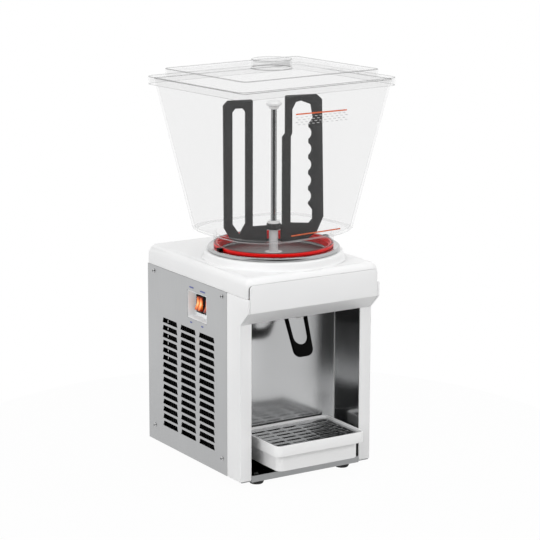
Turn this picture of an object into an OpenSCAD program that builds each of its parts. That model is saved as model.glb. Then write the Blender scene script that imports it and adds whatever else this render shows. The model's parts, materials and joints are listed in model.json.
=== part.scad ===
// Refrigerated juice dispenser: a cooled cabinet with a clear bowl, an agitator and a push-lever tap.
// X runs to the right, Y to the back and Z up from the surface under the feet. Sizes are in millimetres.

/* [Cabinet] */
// Width of the cabinet
cabinet_w = 260; // [254:1:300]
// Depth of the cabinet behind the pillars' front plane
cabinet_d = 310; // [304:1:350]
// Height from the pillars' lower edge to the top cover's lower edge
body_h = 316; // [310:1:350]
// Height of the top cover
cover_h = 34; // [30:1:44]
// Radius of the top cover's edges
cover_r = 14; // [8:1:16]
// Radius of the top cover's two rear corners
cover_rear_r = 4; // [3.5:0.5:8]
// Reach of the fascia in front of the pillars
overhang = 24; // [16:1:30]
// Wall of the white mouldings
shell_t = 2.5; // [2:0.1:3]
// Side wall of the pillars
pillar_t = 4.5; // [3.5:0.1:6]
// Width of a pillar's front face
pillar_w = 22.5; // [18:0.5:26]
// Depth of a pillar's side face
pillar_d = 42; // [36:1:46]
// Thickness of the steel sheets
sheet_t = 1.2; // [0.8:0.1:1.6]
// Gap between pieces that are set together
fit = 0.2; // [0.1:0.05:0.3]
// Gap between pieces that move past each other
clearance = 0.4; // [0.3:0.05:0.6]
// Radial gap of a pin or shaft in its bore
running = 0.05; // [0.02:0.01:0.08]

/* [Fascia] */
// Reach of the fascia below the top cover's lower edge
fascia_drop = 47.5; // [44:0.5:56]
// Height of the fascia's bevelled edge
bevel_h = 23.5; // [16:0.5:30]
// Height of the fascia's top edge above the top cover's lower edge
fascia_rise = 22.5; // [16:0.5:25]
// Radius of the fascia's top corners
fascia_r = 7; // [3:0.5:10]

/* [Base] */
// Diameter of a rubber foot
foot_d = 25; // [20:1:32]
// Height of a rubber foot
foot_h = 11; // [8:0.5:20]
// Distance of a foot's centre from the cabinet's side
foot_in_x = 44; // [30:1:50]
// Distance of a foot's centre from the cabinet's front and back planes
foot_in_y = 20; // [18:1:30]
// Diameter of the foot screws
foot_screw_d = 5; // [4:0.5:6]
// Height of the base pan's front lip
lip_h = 11; // [8:0.5:14]
// Reach of the front lip below the base pan
lip_drop = 2; // [0:0.5:4]
// Diameter of the cable inlet
inlet_d = 20; // [18:0.5:24]
// Bore of the cable inlet
inlet_bore = 9; // [7:0.5:10]

/* [Vents] */
// Columns of vent slots in a side panel
vent_columns = 3; // [2:1:3]
// Least distance of the vent slots below the switch recess
vent_gap = 12; // [6:0.5:20]
// Width of a vent slot
vent_w = 52; // [40:1:54]
// Height of a vent slot
vent_h = 9; // [6:0.5:10]
// Distance between the columns of slots
vent_step_y = 62.5; // [56:0.5:64]
// Distance between the rows of slots
vent_step_z = 13.3; // [12:0.1:13.6]
// Extra width of a slot's lower edge towards the front
vent_splay = 3; // [0:0.5:5]
// Height of the lowest row above the panel's lower edge
vent_up = 34; // [30:1:40]
// Distance of the first column behind the pillars' front plane
vent_in = 82; // [78:1:90]
// Diameter of a panel screw
screw_d = 3.5; // [3:0.1:4]
// Diameter of a panel screw's head
screw_head_d = 6.5; // [6:0.1:8]
// Height of a panel screw's head
screw_head_h = 2; // [1.5:0.1:3]
// Length of a panel screw's shank
screw_l = 8; // [6:0.5:12]
// Distance of the front screws behind the pillars' side face
screw_in_front = 16; // [10:0.5:20]
// Distance of the rear screws from the cabinet's back
screw_in_back = 21.5; // [14:0.5:24]
// Distance of the lower screws from the panel's lower edge
screw_up = 27; // [20:0.5:30]
// Distance of the upper screws below the panel's top edge
screw_down = 10; // [8:0.5:14]

/* [Switches] */
// Width of the switch recess
recess_w = 66; // [62:1:76]
// Height of the switch recess
recess_h = 48; // [42:1:52]
// Depth of the switch recess
recess_depth = 17; // [12:0.5:22]
// Height of the recess's centre below the panel's top edge
recess_down = 44.5; // [42:0.5:48]
// Distance of the recess's centre behind the pillars' front plane
recess_in = 139.5; // [125:0.5:160]
// Wall of the switch recess
recess_t = 2; // [1.5:0.1:3]
// Width of a switch's bezel
switch_w = 25; // [22:0.5:28]
// Height of a switch's bezel
switch_h = 31; // [28:0.5:36]
// Distance between the two switches
switch_step = 29; // [29:0.5:34]
// Border of a switch's bezel round its rocker
bezel_border = 2.8; // [2.5:0.1:3.2]
// Height of a bezel above the recess's floor
bezel_h = 3; // [2:0.5:4]
// Depth of a switch's body behind the recess's floor
switch_body = 20; // [16:1:24]
// Tilt of a rocker to each side
rocker_tilt = 12; // [8:1:14]
// Height of a rocker's ridge ends above its pivot
rocker_rise = 5; // [4:0.5:6]
// Diameter of a rocker's pivot pins
rocker_pin_d = 3; // [2:0.5:3.5]

/* [Cup bay] */
// Depth of the cup bay behind the pillars' front plane
bay_depth = 77; // [72:1:80]
// Thickness of the bay's floor plate
bay_floor_t = 2; // [1.5:0.1:3]
// Width of a tray rail
rail_w = 10; // [6:1:14]
// Distance between the rails' centres
rail_step = 110; // [90:1:120]

/* [Drip tray] */
// Width of the drip tray
tray_w = 176; // [160:1:200]
// Reach of the drip tray in front of the pillars
tray_out = 48; // [30:1:60]
// Gap between the drip tray and the bay's back wall
tray_back_gap = 4; // [2:0.5:8]
// Height of the tray's top edge above the pillars' lower edge
tray_up = 67; // [60:1:80]
// Height of the drip tray
tray_h = 46; // [40:1:50]
// Height of the tray's wide upper part
tray_rim_h = 18.5; // [16:0.5:22]
// Set-in of the tray's lower part
tray_inset = 8; // [5:0.5:12]
// Corner radius of the drip tray
tray_r = 12; // [10:0.5:20]
// Wall of the drip tray
tray_t = 3; // [2:0.1:4]
// Depth of the grille below the tray's edge
grille_down = 4; // [2:0.5:6]
// Slots in a row of the grille
grille_columns = 5; // [3:1:6]
// Rows of slots in the grille
grille_rows = 6; // [3:1:7]
// Length of a grille slot
slot_l = 25; // [15:1:26]
// Width of a grille slot
slot_w = 4; // [3:0.5:6]
// Distance between the columns of grille slots
slot_step_x = 31.5; // [31:0.5:33]
// Distance between the rows of grille slots
slot_step_y = 16; // [12:0.5:17]

/* [Tap] */
// Width of the push lever at its pivot
lever_w = 49; // [44:1:56]
// Width of the lever at its foot
lever_foot_w = 38; // [34:1:42]
// Radius of the corners of the lever's foot
lever_foot_r = 13; // [10:0.5:15]
// Width of the lever's arms
lever_arm_w = 6; // [5:0.5:8]
// Thickness of the push lever
lever_t = 5; // [4:0.2:7]
// Length of the lever below its pivot
lever_l = 116; // [100:1:125]
// Height of the lever's foot below its window
lever_end = 21; // [14:1:26]
// Forward lean of the lever at rest
lever_lean = 24; // [21:0.5:26]
// Push of the lever
lever_push = 18; // [10:1:20]
// Distance of the lever's pivot behind the pillars' front plane
pivot_in = 54; // [52:0.5:56]
// Diameter of the lever's pin and of the slide's cross pin
pin_d = 5; // [4:0.5:6]
// Height of the pinch slide's axis above the bay's ceiling
slide_up = 8; // [7:0.5:9]
// Height of the pinch slide
slide_h = 8; // [6:0.5:9]
// Outer diameter of the outlet tube
tube_d = 14; // [12:0.5:15]
// Bore of the outlet tube
tube_bore = 9; // [7:0.5:10]
// Distance of the outlet tube behind the pillars' front plane
tube_in = 23; // [22:0.5:25]
// Reach of the outlet tube below the bay's ceiling
tube_reach = 10; // [4:1:20]
// Wall of the valve bracket
bracket_t = 2.5; // [2:0.1:3]
// Diameter of the valve spring
spring_d = 10; // [8:0.5:12]
// Wire of the valve spring
spring_wire = 1.1; // [0.8:0.1:1.3]
// Turns of the valve spring
spring_turns = 5; // [4:1:6]

/* [Cooling dish] */
// Distance of the bowl's axis behind the pillars' front plane
bowl_in = 104.5; // [103:0.5:108]
// Diameter of the collar on the top cover
collar_d = 236; // [230:1:246]
// Height of the collar
collar_h = 14; // [8:1:20]
// Diameter of the dish's rolled rim
ring_d = 225.6; // [220:0.2:230]
// Height of the dish's rolled rim
ring_h = 7; // [5:0.5:9]
// Inner radius of the dish
dish_r = 94; // [92:0.5:95]
// Depth of the dish below its flange
dish_depth = 11; // [8:0.5:12]
// Sheet of the dish
dish_t = 1.5; // [1:0.1:2]
// Diameter of the dish's centre post
post_d = 15.5; // [15:0.5:18]
// Bore of the dish's centre post
post_bore = 11; // [10.5:0.5:12]
// Height of the gasket
gasket_h = 5.5; // [4:0.5:7]
// Size of a clip lug along the rim
clip_w = 9; // [6:0.5:12]

/* [Bowl] */
// Turn of the bowl and its lid on the round neck
bowl_turn = 5.5; // [-8:0.5:8]
// Set-back of the bowl behind its neck's axis
bowl_back = 4; // [0:0.5:5]
// Width of the bowl's rim
bowl_w = 313; // [300:1:325]
// Depth of the bowl's rim
bowl_d = 257; // [245:1:265]
// Width of the bowl's lower end
bowl_low_w = 241; // [234:1:250]
// Depth of the bowl's lower end
bowl_low_d = 218; // [215:1:226]
// Corner radius of the bowl's rim
bowl_r = 10; // [8:1:30]
// Corner radius of the bowl's lower end
bowl_low_r = 65; // [50:1:80]
// Height of the bowl with its neck
bowl_h = 277; // [270:1:300]
// Height of the bowl's neck
neck_h = 18; // [16:0.5:22]
// Outer diameter of the bowl's neck
neck_d = 203; // [202:0.5:206]
// Rise of the bowl's rounded lower edge
bowl_edge = 8; // [5:0.5:12]
// Wall of the bowl
bowl_t = 3.5; // [3:0.1:4]

/* [Lid] */
// Gap between the bowl's rim and the lid's skirt
lid_gap = 4.5; // [1:0.5:6]
// Wall of the lid
lid_t = 3; // [2:0.1:4]
// Height of the lid's skirt
lid_skirt = 13.5; // [9:0.5:16]
// Set-in of the lid's raised step
step_in = 22; // [15:0.5:30]
// Height of the lid's raised step
step_h = 13.5; // [8:0.5:18]
// Corner radius of the raised step
step_r = 10; // [6:0.5:16]
// Diameter of the lid's knob
knob_d = 68; // [50:1:80]
// Height of the lid's knob
knob_h = 16; // [12:0.5:24]

/* [Agitator] */
// Radius of the agitator
agitator_r = 90; // [80:1:92]
// Height of the agitator
agitator_h = 250; // [240:1:255]
// Thickness of the agitator's plate
agitator_t = 5; // [4:0.5:8]
// Turn of the agitator at rest
agitator_turn = -11.5; // [-90:0.5:90]
// Height of the crossbar's top above the agitator's lower edge
crossbar_h = 31; // [30:0.5:34]
// Height of the cut-out below the hub
notch_h = 24; // [22:0.5:26]
// Width of the outer bars
outer_bar = 16; // [14:0.5:20]
// Width of the left inner bar
inner_bar = 13; // [10:0.5:16]
// Distance of the left inner bar from the axis
left_gap = 38; // [34:0.5:40]
// Distance of the right inner bar from the axis
right_gap = 15; // [14:0.5:18]
// Sideways jog of the right inner bar
bar_jog = 5; // [2:0.5:7]
// Finger hollows in the right loop
finger_count = 5; // [3:1:5]
// Distance between the finger hollows
finger_step = 27; // [24:0.5:28]
// Depth of the finger hollows
finger_depth = 5.5; // [3:0.5:7]
// Rounding of the agitator's corners
agitator_round = 3; // [1:0.5:4]
// Gap between the agitator and the dish's floor
agitator_gap = 15; // [12:0.5:18]
// Diameter of the agitator's hub
hub_d = 24; // [22:0.5:28]
// Height of the agitator's hub
hub_h = 10; // [9:0.5:14]
// Diameter of the drive shaft
shaft_d = 8; // [6:0.5:8.5]
// Diameter of the agitator's rod
rod_d = 10; // [8:0.5:12]
// Length of the agitator's rod
rod_l = 203; // [190:1:212]
// Height of the hub washer
washer_h = 4.5; // [3:0.5:6]
// Diameter of the rod's cap
cap_d = 26; // [20:1:32]
// Height of the rod's cap
cap_h = 10; // [8:0.5:14]

/* [Cooling set] */
// Diameter of the compressor
compressor_d = 110; // [90:1:116]
// Height of the compressor's shell
compressor_h = 140; // [110:1:160]
// Distance of the compressor's axis from the cabinet's right side
compressor_in_x = 85; // [80:1:88]
// Distance of the compressor's axis from the cabinet's back
compressor_in_y = 85; // [80:1:90]
// Height of the compressor's rubber mounts
mount_h = 14; // [10:0.5:20]
// Depth of the condenser across its fins
condenser_w = 24; // [18:1:28]
// Distance between the condenser's fins
fin_step = 8; // [6:0.5:12]
// Thickness of a condenser fin
fin_t = 1.2; // [1:0.1:2]
// Diameter of the refrigerant pipes
pipe_d = 8; // [6:0.5:9]
// Diameter of the fan
fan_d = 140; // [110:1:150]
// Blades of the fan
fan_blades = 5; // [4:1:7]
// Pitch of the fan's blades
fan_pitch = 30; // [15:1:35]
// Diameter of the fan's hub
fan_hub_d = 40; // [30:1:44]
// Depth of the fan's hub
fan_hub_h = 18; // [16:1:20]
// Diameter of the fan's motor
fan_motor_d = 56; // [44:1:60]
// Length of the fan's motor
fan_motor_l = 36; // [30:1:38]
// Diameter of the fan's shaft
fan_shaft_d = 6; // [5:0.5:8]
// Diameter of the filter drier
drier_d = 22; // [16:1:26]
// Length of the filter drier
drier_l = 95; // [70:1:110]
// Length of the gear motor's box
gearbox_l = 80; // [70:1:90]
// Width of the gear motor's box
gearbox_w = 64; // [50:1:66]
// Height of the gear motor's box
gearbox_h = 27; // [24:0.5:28]
// Diameter of the gear motor's winding
winding_d = 52; // [40:1:56]
// Height of the gear motor's winding
winding_h = 34; // [24:1:36]

/* [Hidden] */
$fn = 48;

// A small overlap for cuts
cut = 1;
// Small sizes of the details
hole_gap = 2;
screw_edge = 8;
foot_head_h = 3;
inlet_up = 40;
inlet_groove = 2;
rear_rows = 10;
rear_w = 65;
rear_h = 4.5;
rear_step = 118;
rear_down = 60;
head_wall = 3.7;
head_gap = 2.8;
deck_drop = 3.8;
squeeze = 1;
squeeze_room = 2;
slide_tail = 4.5;
slot_gap = 1.5;
ceiling_in = 2;
ceiling_lap = 6;
pin_rim = 1.5;
spring_slack = 0.7;
peg_d = 4.5;
peg_l = 4;
pin_head = 2;
flange_drop = 1;
gasket_step = 1.5;
cuff_t = 1.5;
cuff_h = 8;
lid_near = 1;
spigot_l = 14;
clip_out = 4;
clip_d = 7;
clip_pin_d = 3;
bush_l = 14;
cap_depth = 5;
bezel_lap = 1.5;
recess_lap = 4;
recess_gap = 1.2;
lip_t = 1;
rocker_sink = 1.5;
rocker_gap = 1.2;
rocker_room = 10.5;
pin_in = 1.2;
coil_in = 46;
coil_turns = 2.15;
coil_gap = 4;
leg_drop = 8;
foam_wall = 2;
gearbox_front = 16;
boss_rise = 10;
shaft_up = 5;
condenser_gap = 4;
fan_gap = 2;
motor_gap = 4;
fan_shaft_in = 15;
blade_t = 2;
blade_w = 28;
blade_root = 3;
bracket_edge = 10;
stub_h = 12;
stub_x = 18;
mount_d = 18;
mount_pin_d = 7.6;
mount_step = compressor_d - 16;
capillary_d = 3;
drier_in_x = 45;
drier_gap = 10;
drier_up = 60;
box_in = 16;
thermostat_size = [42, 30, 26];
control_size = [56, 55, 40];

// The inlet and the screw heads stand this far out of the back panel
back_proud = screw_head_h;
total_d = tray_out + cabinet_d + back_proud;
back_y = total_d / 2 - back_proud;
front_y = back_y - cabinet_d;
half_w = cabinet_w / 2;

// Heights of the cabinet
base_z = foot_h + sheet_t;
cover_z = base_z + body_h;
top_z = cover_z + cover_h;
bay_top = cover_z - fascia_drop;
ceiling_z = bay_top + shell_t;
ceiling_top = ceiling_z + sheet_t;
fascia_y = front_y - overhang;
fascia_top = cover_z + fascia_rise;
fascia_half = half_w - pillar_t - fit;
bay_half = half_w - pillar_w;
bay_back = front_y + bay_depth;
panel_y = front_y + pillar_d;

// Faces that lie inside the side panels
flange_x = half_w - sheet_t - fit;
inner_x = flange_x - sheet_t - fit;
inner_back = back_y - sheet_t - fit;
screw_front_y = panel_y + screw_in_front;
screw_back_y = back_y - screw_in_back;
screw_low_z = base_z + screw_up;
screw_high_z = cover_z - screw_down;
screw_hole_d = screw_d + 2 * fit;
rear_z = cover_z - rear_down;

// Tap
pivot_y = front_y + pivot_in;
head_r = lever_t / 2 + head_wall;
deck_z = cover_z - deck_drop;
deck_top = deck_z + sheet_t;
pivot_z = deck_z - head_r - head_gap;
pivot_up = pivot_z - ceiling_top;
slide_z = ceiling_top + slide_up;
slide_drop = pivot_z - slide_z;
tube_y = front_y + tube_in;
arm_in = lever_w / 2 - lever_arm_w;
bracket_half = tube_d / 2 + squeeze_room + bracket_t;
bracket_front = tube_y - tube_d / 2 - fit - bracket_t;
squeeze_y = tube_y - squeeze;
// Where the slide's cross pin lies when the lever leans by a given angle
function cross_y(lean) =
    pivot_y + (lever_t / 2 + pin_d / 2 + clearance - slide_drop * sin(lean)) / cos(lean);
cross_rest = cross_y(lever_lean);
slide_travel = cross_y(lever_lean - lever_push) - cross_rest;
slide_back = cross_rest + pin_d / 2 + slide_tail;
bracket_back = slide_back + slide_travel + spring_turns * spring_wire + spring_slack + bracket_t;
// Lever slot in the bay's ceiling
arm_reach = lever_t / 2 / cos(lever_lean) + slot_gap;
slot_front = pivot_y - pivot_up * tan(lever_lean) - sheet_t - arm_reach;
slot_back = pivot_y + pivot_up * tan(lever_push - lever_lean) + arm_reach;

// Bowl seat
bowl_y = front_y + bowl_in;
collar_z = top_z + collar_h;
ring_top = collar_z + ring_h;
flange_z = ring_top - flange_drop;
dish_z = flange_z - dish_depth;
gasket_in = dish_r + gasket_step;
gasket_z = flange_z + fit;
neck_z = gasket_z + gasket_h + fit;
bowl_floor_z = neck_z + neck_h;
rim_z = neck_z + bowl_h;
lid_z = rim_z + fit;
lid_w = bowl_w + 2 * (lid_gap + lid_t);
lid_d = bowl_d + 2 * (lid_gap + lid_t);
lid_r = bowl_r + lid_gap + lid_t;
// The loose lid lies back until its skirt is near the front of the rim
lid_back = lid_gap - lid_near;
step_z = lid_z + lid_t + step_h;

// Agitator
agitator_z = dish_z + agitator_gap;
hub_z = agitator_z + notch_h;
hub_top = hub_z + hub_h;
rod_z = hub_top + fit;
cap_z = rod_z + rod_l - cap_depth;
post_top = hub_z - clearance;

// Cooling set
coil_step = pipe_d + coil_gap;
coil_out = coil_in + coil_step * coil_turns;
coil_z = dish_z - dish_t - fit - pipe_d / 2;
foam_z = deck_top + fit;
foam_top = coil_z - pipe_d / 2 - fit;
foam_r = dish_r + foam_wall;
coil_leg_z = deck_z - leg_drop;
coil_start = [coil_in, bowl_y];
coil_end = [coil_out * cos(360 * coil_turns), bowl_y + coil_out * sin(360 * coil_turns)];
gearbox_y = bowl_y - hub_d / 2 - gearbox_front;
gearbox_z = deck_z - fit - gearbox_h;
boss_top = foam_z + boss_rise;
shaft_foot = gearbox_z + shaft_up;
recess_z = cover_z - recess_down;
vent_y = front_y + vent_in;
vent_z = base_z + vent_up;
vent_rows = floor((recess_z - recess_h / 2 - vent_gap - vent_h - vent_z) / vent_step_z) + 1;
vents_d = vent_w + vent_step_y * (vent_columns - 1);
vents_h = vent_h + vent_step_z * (vent_rows - 1);
condenser_x = -inner_x + condenser_gap;
shroud_x = condenser_x + condenser_w + fit;
fan_x = shroud_x + sheet_t + fan_gap;
fan_y = vent_y + vents_d / 2;
fan_z = vent_z + vents_h / 2;
fan_motor_x = fan_x + fan_hub_h + motor_gap;
compressor_x = half_w - compressor_in_x;
compressor_y = back_y - compressor_in_y;
compressor_z = base_z + mount_h + fit;
compressor_top = compressor_z + sheet_t * 2 + compressor_h;
pipe_low_z = max(compressor_top + stub_h, vent_z + vents_h) + pipe_d + coil_gap;
pipe_mid_z = pipe_low_z + pipe_d + coil_gap;
pipe_high_z = pipe_mid_z + pipe_d + coil_gap;
drier_x = inner_x - drier_in_x;
drier_y = bay_back + sheet_t + drier_d / 2 + drier_gap;
drier_z = base_z + drier_up;

// Switches
recess_y = front_y + recess_in;
recess_x = -half_w + recess_depth;
bezel_x = recess_x - bezel_h;
rocker_x = bezel_x + rocker_sink;
rocker_half = switch_h / 2 - bezel_border - rocker_gap;
rocker_w = switch_w - 2 * bezel_border - 2 * clearance;

// Drip tray
tray_z = base_z + tray_up - tray_h;
tray_top = base_z + tray_up;
tray_y = front_y - tray_out;
tray_d = bay_back - tray_back_gap - tray_y;
tray_mid = tray_y + tray_d / 2;
ledge_z = tray_top - tray_rim_h + tray_t;
grille_w = tray_w - 2 * tray_t - 2 * clearance;
grille_d = tray_d - 2 * tray_t - 2 * clearance;
grille_r = tray_r - tray_t - clearance;
grille_top = tray_top - grille_down;

white = [0.93, 0.93, 0.93];
steel = [0.72, 0.73, 0.74];
black = [0.06, 0.06, 0.06];
copper = [0.72, 0.42, 0.28];
clear = [0.85, 0.9, 0.93, 0.35];
red = [0.78, 0.03, 0.03];

// Shapes that repeat

module box(low, high) {
    translate(low) cube(high - low);
}

module both_sides() {
    children();
    mirror([1, 0, 0]) children();
}

// Extrudes an outline drawn in (Y, Z) from x0 to x1
module along_x(x0, x1) {
    translate([x0, 0, 0]) rotate([90, 0, 90]) linear_extrude(x1 - x0) children();
}

// Extrudes an outline drawn in (X, Z) from y0 to y1
module along_y(y0, y1) {
    translate([0, y1, 0]) rotate([90, 0, 0]) linear_extrude(y1 - y0) children();
}

module rounded_rect(w, d, r) {
    square([w - 2 * r, d], center = true);
    square([w, d - 2 * r], center = true);
    for (sx = [-1, 1], sy = [-1, 1]) {
        translate([sx * (w / 2 - r), sy * (d / 2 - r)]) circle(r);
    }
}

module rounded_box(w, d, r, z0, z1) {
    translate([0, 0, z0]) linear_extrude(z1 - z0) rounded_rect(w, d, r);
}

// A straight pin or hole along X
module rod_x(d, x0, x1) {
    translate([x0, 0, 0]) rotate([0, 90, 0]) cylinder(d = d, h = x1 - x0);
}

// A straight pin or hole along Y
module rod_y(d, y0, y1) {
    translate([0, y0, 0]) rotate([-90, 0, 0]) cylinder(d = d, h = y1 - y0);
}

module tube_z(d, bore, z0, z1) {
    difference() {
        translate([0, 0, z0]) cylinder(d = d, h = z1 - z0);
        translate([0, 0, z0 - cut]) cylinder(d = bore, h = z1 - z0 + 2 * cut);
    }
}

// A pipe swept along a list of points
function unit(v) = v / norm(v);
function last(p) = len(p) - 1;
function heading(p, i) =
    i == 0 ? unit(p[1] - p[0])
    : i == last(p) ? unit(p[i] - p[i - 1])
    : unit(unit(p[i] - p[i - 1]) + unit(p[i + 1] - p[i]));
function square_to(n, d) = unit(n - (n * d) * d);
function carried(p, n, i = 0, done = []) =
    i > last(p) ? done
    : let (next = square_to(i == 0 ? n : done[i - 1], heading(p, i)))
        carried(p, n, i + 1, concat(done, [next]));
function corner(a, p, b, r) =
    let (from = r * unit(a - p), to = r * unit(b - p))
        [p + from, p + 0.293 * (from + to), p + to];
function eased(p, r) = concat([p[0]],
    [for (i = [1 : last(p) - 1], q = corner(p[i - 1], p[i], p[i + 1], r)) q],
    [p[last(p)]]);

module pipe(p, d, start_side, sides = 8) {
    n = carried(p, start_side);
    points = [for (i = [0 : last(p)], k = [0 : sides - 1])
        let (a = 360 * k / sides)
            p[i] + d / 2 * (cos(a) * n[i] + sin(a) * cross(heading(p, i), n[i]))];
    skin = [for (i = [0 : last(p) - 1], k = [0 : sides - 1])
        let (a = i * sides + k, b = i * sides + (k + 1) % sides)
            each [[a, a + sides, b + sides], [a, b + sides, b]]];
    start_cap = [for (k = [1 : sides - 2]) [0, k, k + 1]];
    end_cap = [for (k = [1 : sides - 2]) let (e = last(p) * sides) [e, e + k + 1, e + k]];
    polyhedron(points, concat(skin, start_cap, end_cap));
}

// Base

module at_feet() {
    for (sx = [-1, 1], y = [front_y + foot_in_y, back_y - foot_in_y]) {
        translate([sx * (half_w - foot_in_x), y, 0]) children();
    }
}

module base_pan() {
    lip_x = bay_half - fit;
    color(steel) difference() {
        union() {
            box([-inner_x, front_y, foot_h], [inner_x, inner_back, base_z]);
            box([-lip_x, front_y, foot_h - lip_drop], [lip_x, front_y + sheet_t, foot_h - lip_drop + lip_h]);
            both_sides() box([inner_x - sheet_t, screw_front_y + screw_edge, foot_h],
                [inner_x, inner_back, base_z + lip_h]);
        }
        at_feet() translate([0, 0, foot_h - cut]) cylinder(d = foot_screw_d + 2 * fit, h = sheet_t + 2 * cut);
    }
}

module feet() {
    bore_r = foot_screw_d / 2 + fit;
    pocket_r = foot_screw_d + fit;
    color(black) at_feet() rotate_extrude() polygon([
        [pocket_r, 0], [foot_d / 2 - 1.5, 0], [foot_d / 2, 3], [foot_d / 2, foot_h],
        [bore_r, foot_h], [bore_r, foot_h / 2], [pocket_r, foot_h / 2]]);
}

module foot_screws() {
    head_z = foot_h / 2 - fit - foot_head_h;
    nut_h = 0.8 * foot_screw_d;
    color(steel) at_feet() {
        translate([0, 0, head_z]) cylinder(d = 2 * foot_screw_d - fit, h = foot_head_h);
        translate([0, 0, head_z]) cylinder(d = foot_screw_d, h = base_z + nut_h + 1.5 - head_z);
        difference() {
            translate([0, 0, base_z]) cylinder(d = 2 * foot_screw_d, h = nut_h, $fn = 6);
            translate([0, 0, base_z - cut]) cylinder(d = foot_screw_d + 2 * running, h = nut_h + 2 * cut);
        }
    }
}

// Casing

module vent_slots() {
    for (column = [0 : vent_columns - 1], row = [0 : vent_rows - 1]) {
        translate([vent_y + column * vent_step_y, vent_z + row * vent_step_z]) polygon([
            [0, 0], [vent_w, 0], [vent_w - vent_splay, vent_h], [vent_splay, vent_h]]);
    }
}

module panel_holes() {
    for (y = [screw_front_y, screw_back_y], z = [screw_low_z, screw_high_z]) {
        translate([y, z]) circle(d = screw_hole_d);
    }
}

module side_sheet() {
    difference() {
        translate([panel_y + fit, base_z]) square([cabinet_d - pillar_d - fit, body_h - fit]);
        vent_slots();
        panel_holes();
    }
}

module left_side_panel() {
    color(steel) along_x(-half_w, -half_w + sheet_t) difference() {
        side_sheet();
        translate([recess_y, recess_z]) square([recess_w, recess_h], center = true);
    }
}

module right_side_panel() {
    color(steel) along_x(half_w - sheet_t, half_w) side_sheet();
}

module back_panel() {
    flange_d = screw_in_back + screw_edge;
    color(steel) difference() {
        union() {
            box([-flange_x, inner_back + fit, base_z], [flange_x, back_y, cover_z - fit]);
            both_sides() box([flange_x - sheet_t, back_y - flange_d, base_z + lip_h + fit],
                [flange_x, back_y, cover_z - fit]);
        }
        along_x(-half_w, half_w) panel_holes();
        at_inlet() rod_y(inlet_d - 2 * inlet_groove, -sheet_t - cut, cut);
        for (sx = [-1, 1], row = [0 : rear_rows - 1]) {
            translate([sx * rear_step / 2 - rear_w / 2, back_y - sheet_t - cut, rear_z - row * vent_step_z])
                cube([rear_w, sheet_t + 2 * cut, rear_h]);
        }
    }
}

module at_inlet() {
    translate([-half_w / 2, back_y, base_z + inlet_up]) children();
}

module cable_inlet() {
    bore_r = inlet_bore / 2;
    rim_r = inlet_d / 2;
    groove_r = rim_r - inlet_groove - fit;
    color(black) at_inlet() rotate([-90, 0, 0]) rotate_extrude() polygon([
        [bore_r, -sheet_t - back_proud], [rim_r, -sheet_t - back_proud], [rim_r, -sheet_t - fit],
        [groove_r, -sheet_t - fit], [groove_r, fit], [rim_r, fit], [rim_r - 1, back_proud],
        [bore_r, back_proud]]);
}

module pillar() {
    flange_back = screw_front_y + screw_edge;
    difference() {
        union() {
            along_x(-half_w, -half_w + pillar_t) polygon([
                [front_y, base_z], [panel_y, base_z], [panel_y, cover_z - fit], [fascia_y, cover_z - fit],
                [fascia_y, bay_top + bevel_h], [front_y, bay_top]]);
            box([-half_w, front_y, base_z], [-bay_half, front_y + shell_t, bay_top]);
            box([-flange_x, panel_y - pillar_t, base_z], [-flange_x + sheet_t, flange_back, cover_z - fit]);
        }
        along_x(-half_w, half_w) panel_holes();
    }
}

module left_pillar() {
    color(white) pillar();
}

module right_pillar() {
    color(white) mirror([1, 0, 0]) pillar();
}

// A rounded block with its top edges and corners rounded too
module cover_block(inset, z0, z1) {
    r = cover_r - inset;
    x = half_w - cover_r;
    rear = cover_rear_r - inset;
    hull() {
        for (sx = [-1, 1]) {
            translate([sx * x, fascia_y + cover_r, z0]) cylinder(r = r, h = z1 - r - z0, $fn = 32);
            translate([sx * x, fascia_y + cover_r, z1 - r]) sphere(r, $fn = 32);
            translate([sx * (half_w - cover_rear_r), back_y - cover_rear_r, z0])
                cylinder(r = rear, h = z1 - r - z0, $fn = 32);
            translate([sx * x, back_y - cover_r / 2, z1 - r]) rotate([90, 0, 0])
                cylinder(r = r, h = cover_r / 2, $fn = 32);
        }
        translate([-x, back_y - cover_r, z1 - r]) rotate([0, 90, 0]) cylinder(r = r, h = 2 * x, $fn = 32);
    }
}

// The opening for the fascia, with rounded top corners
module fascia_front(half, z0, z1, r) {
    translate([-half, z0]) square([2 * half, z1 - r - z0]);
    translate([-half + r, z0]) square([2 * (half - r), z1 - z0]);
    for (sx = [-1, 1]) {
        translate([sx * (half - r), z1 - r]) circle(r);
    }
}

module top_cover() {
    collar_r = collar_d / 2;
    seat_r = gasket_in + dish_t + 3;
    color(white) {
        difference() {
            cover_block(0, cover_z, top_z);
            cover_block(shell_t, cover_z - cut, top_z - shell_t);
            along_y(fascia_y - cut, fascia_y + cover_r)
                fascia_front(fascia_half + fit, cover_z - cut, fascia_top + fit, fascia_r + fit);
            translate([0, bowl_y, top_z - 2 * shell_t]) cylinder(r = collar_r - shell_t, h = 3 * shell_t);
        }
        translate([0, bowl_y, 0]) rotate_extrude($fn = 96) polygon([
            [collar_r - shell_t - cut, top_z - shell_t], [collar_r + 4, top_z - shell_t],
            [collar_r + 4, top_z], [collar_r + 1, top_z + 1], [collar_r, top_z + 4],
            [collar_r, collar_z - 3], [collar_r - 1, collar_z - 1], [collar_r - 3, collar_z],
            [seat_r, collar_z], [seat_r, collar_z - shell_t],
            [collar_r - shell_t - cut, collar_z - shell_t]]);
    }
}

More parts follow.
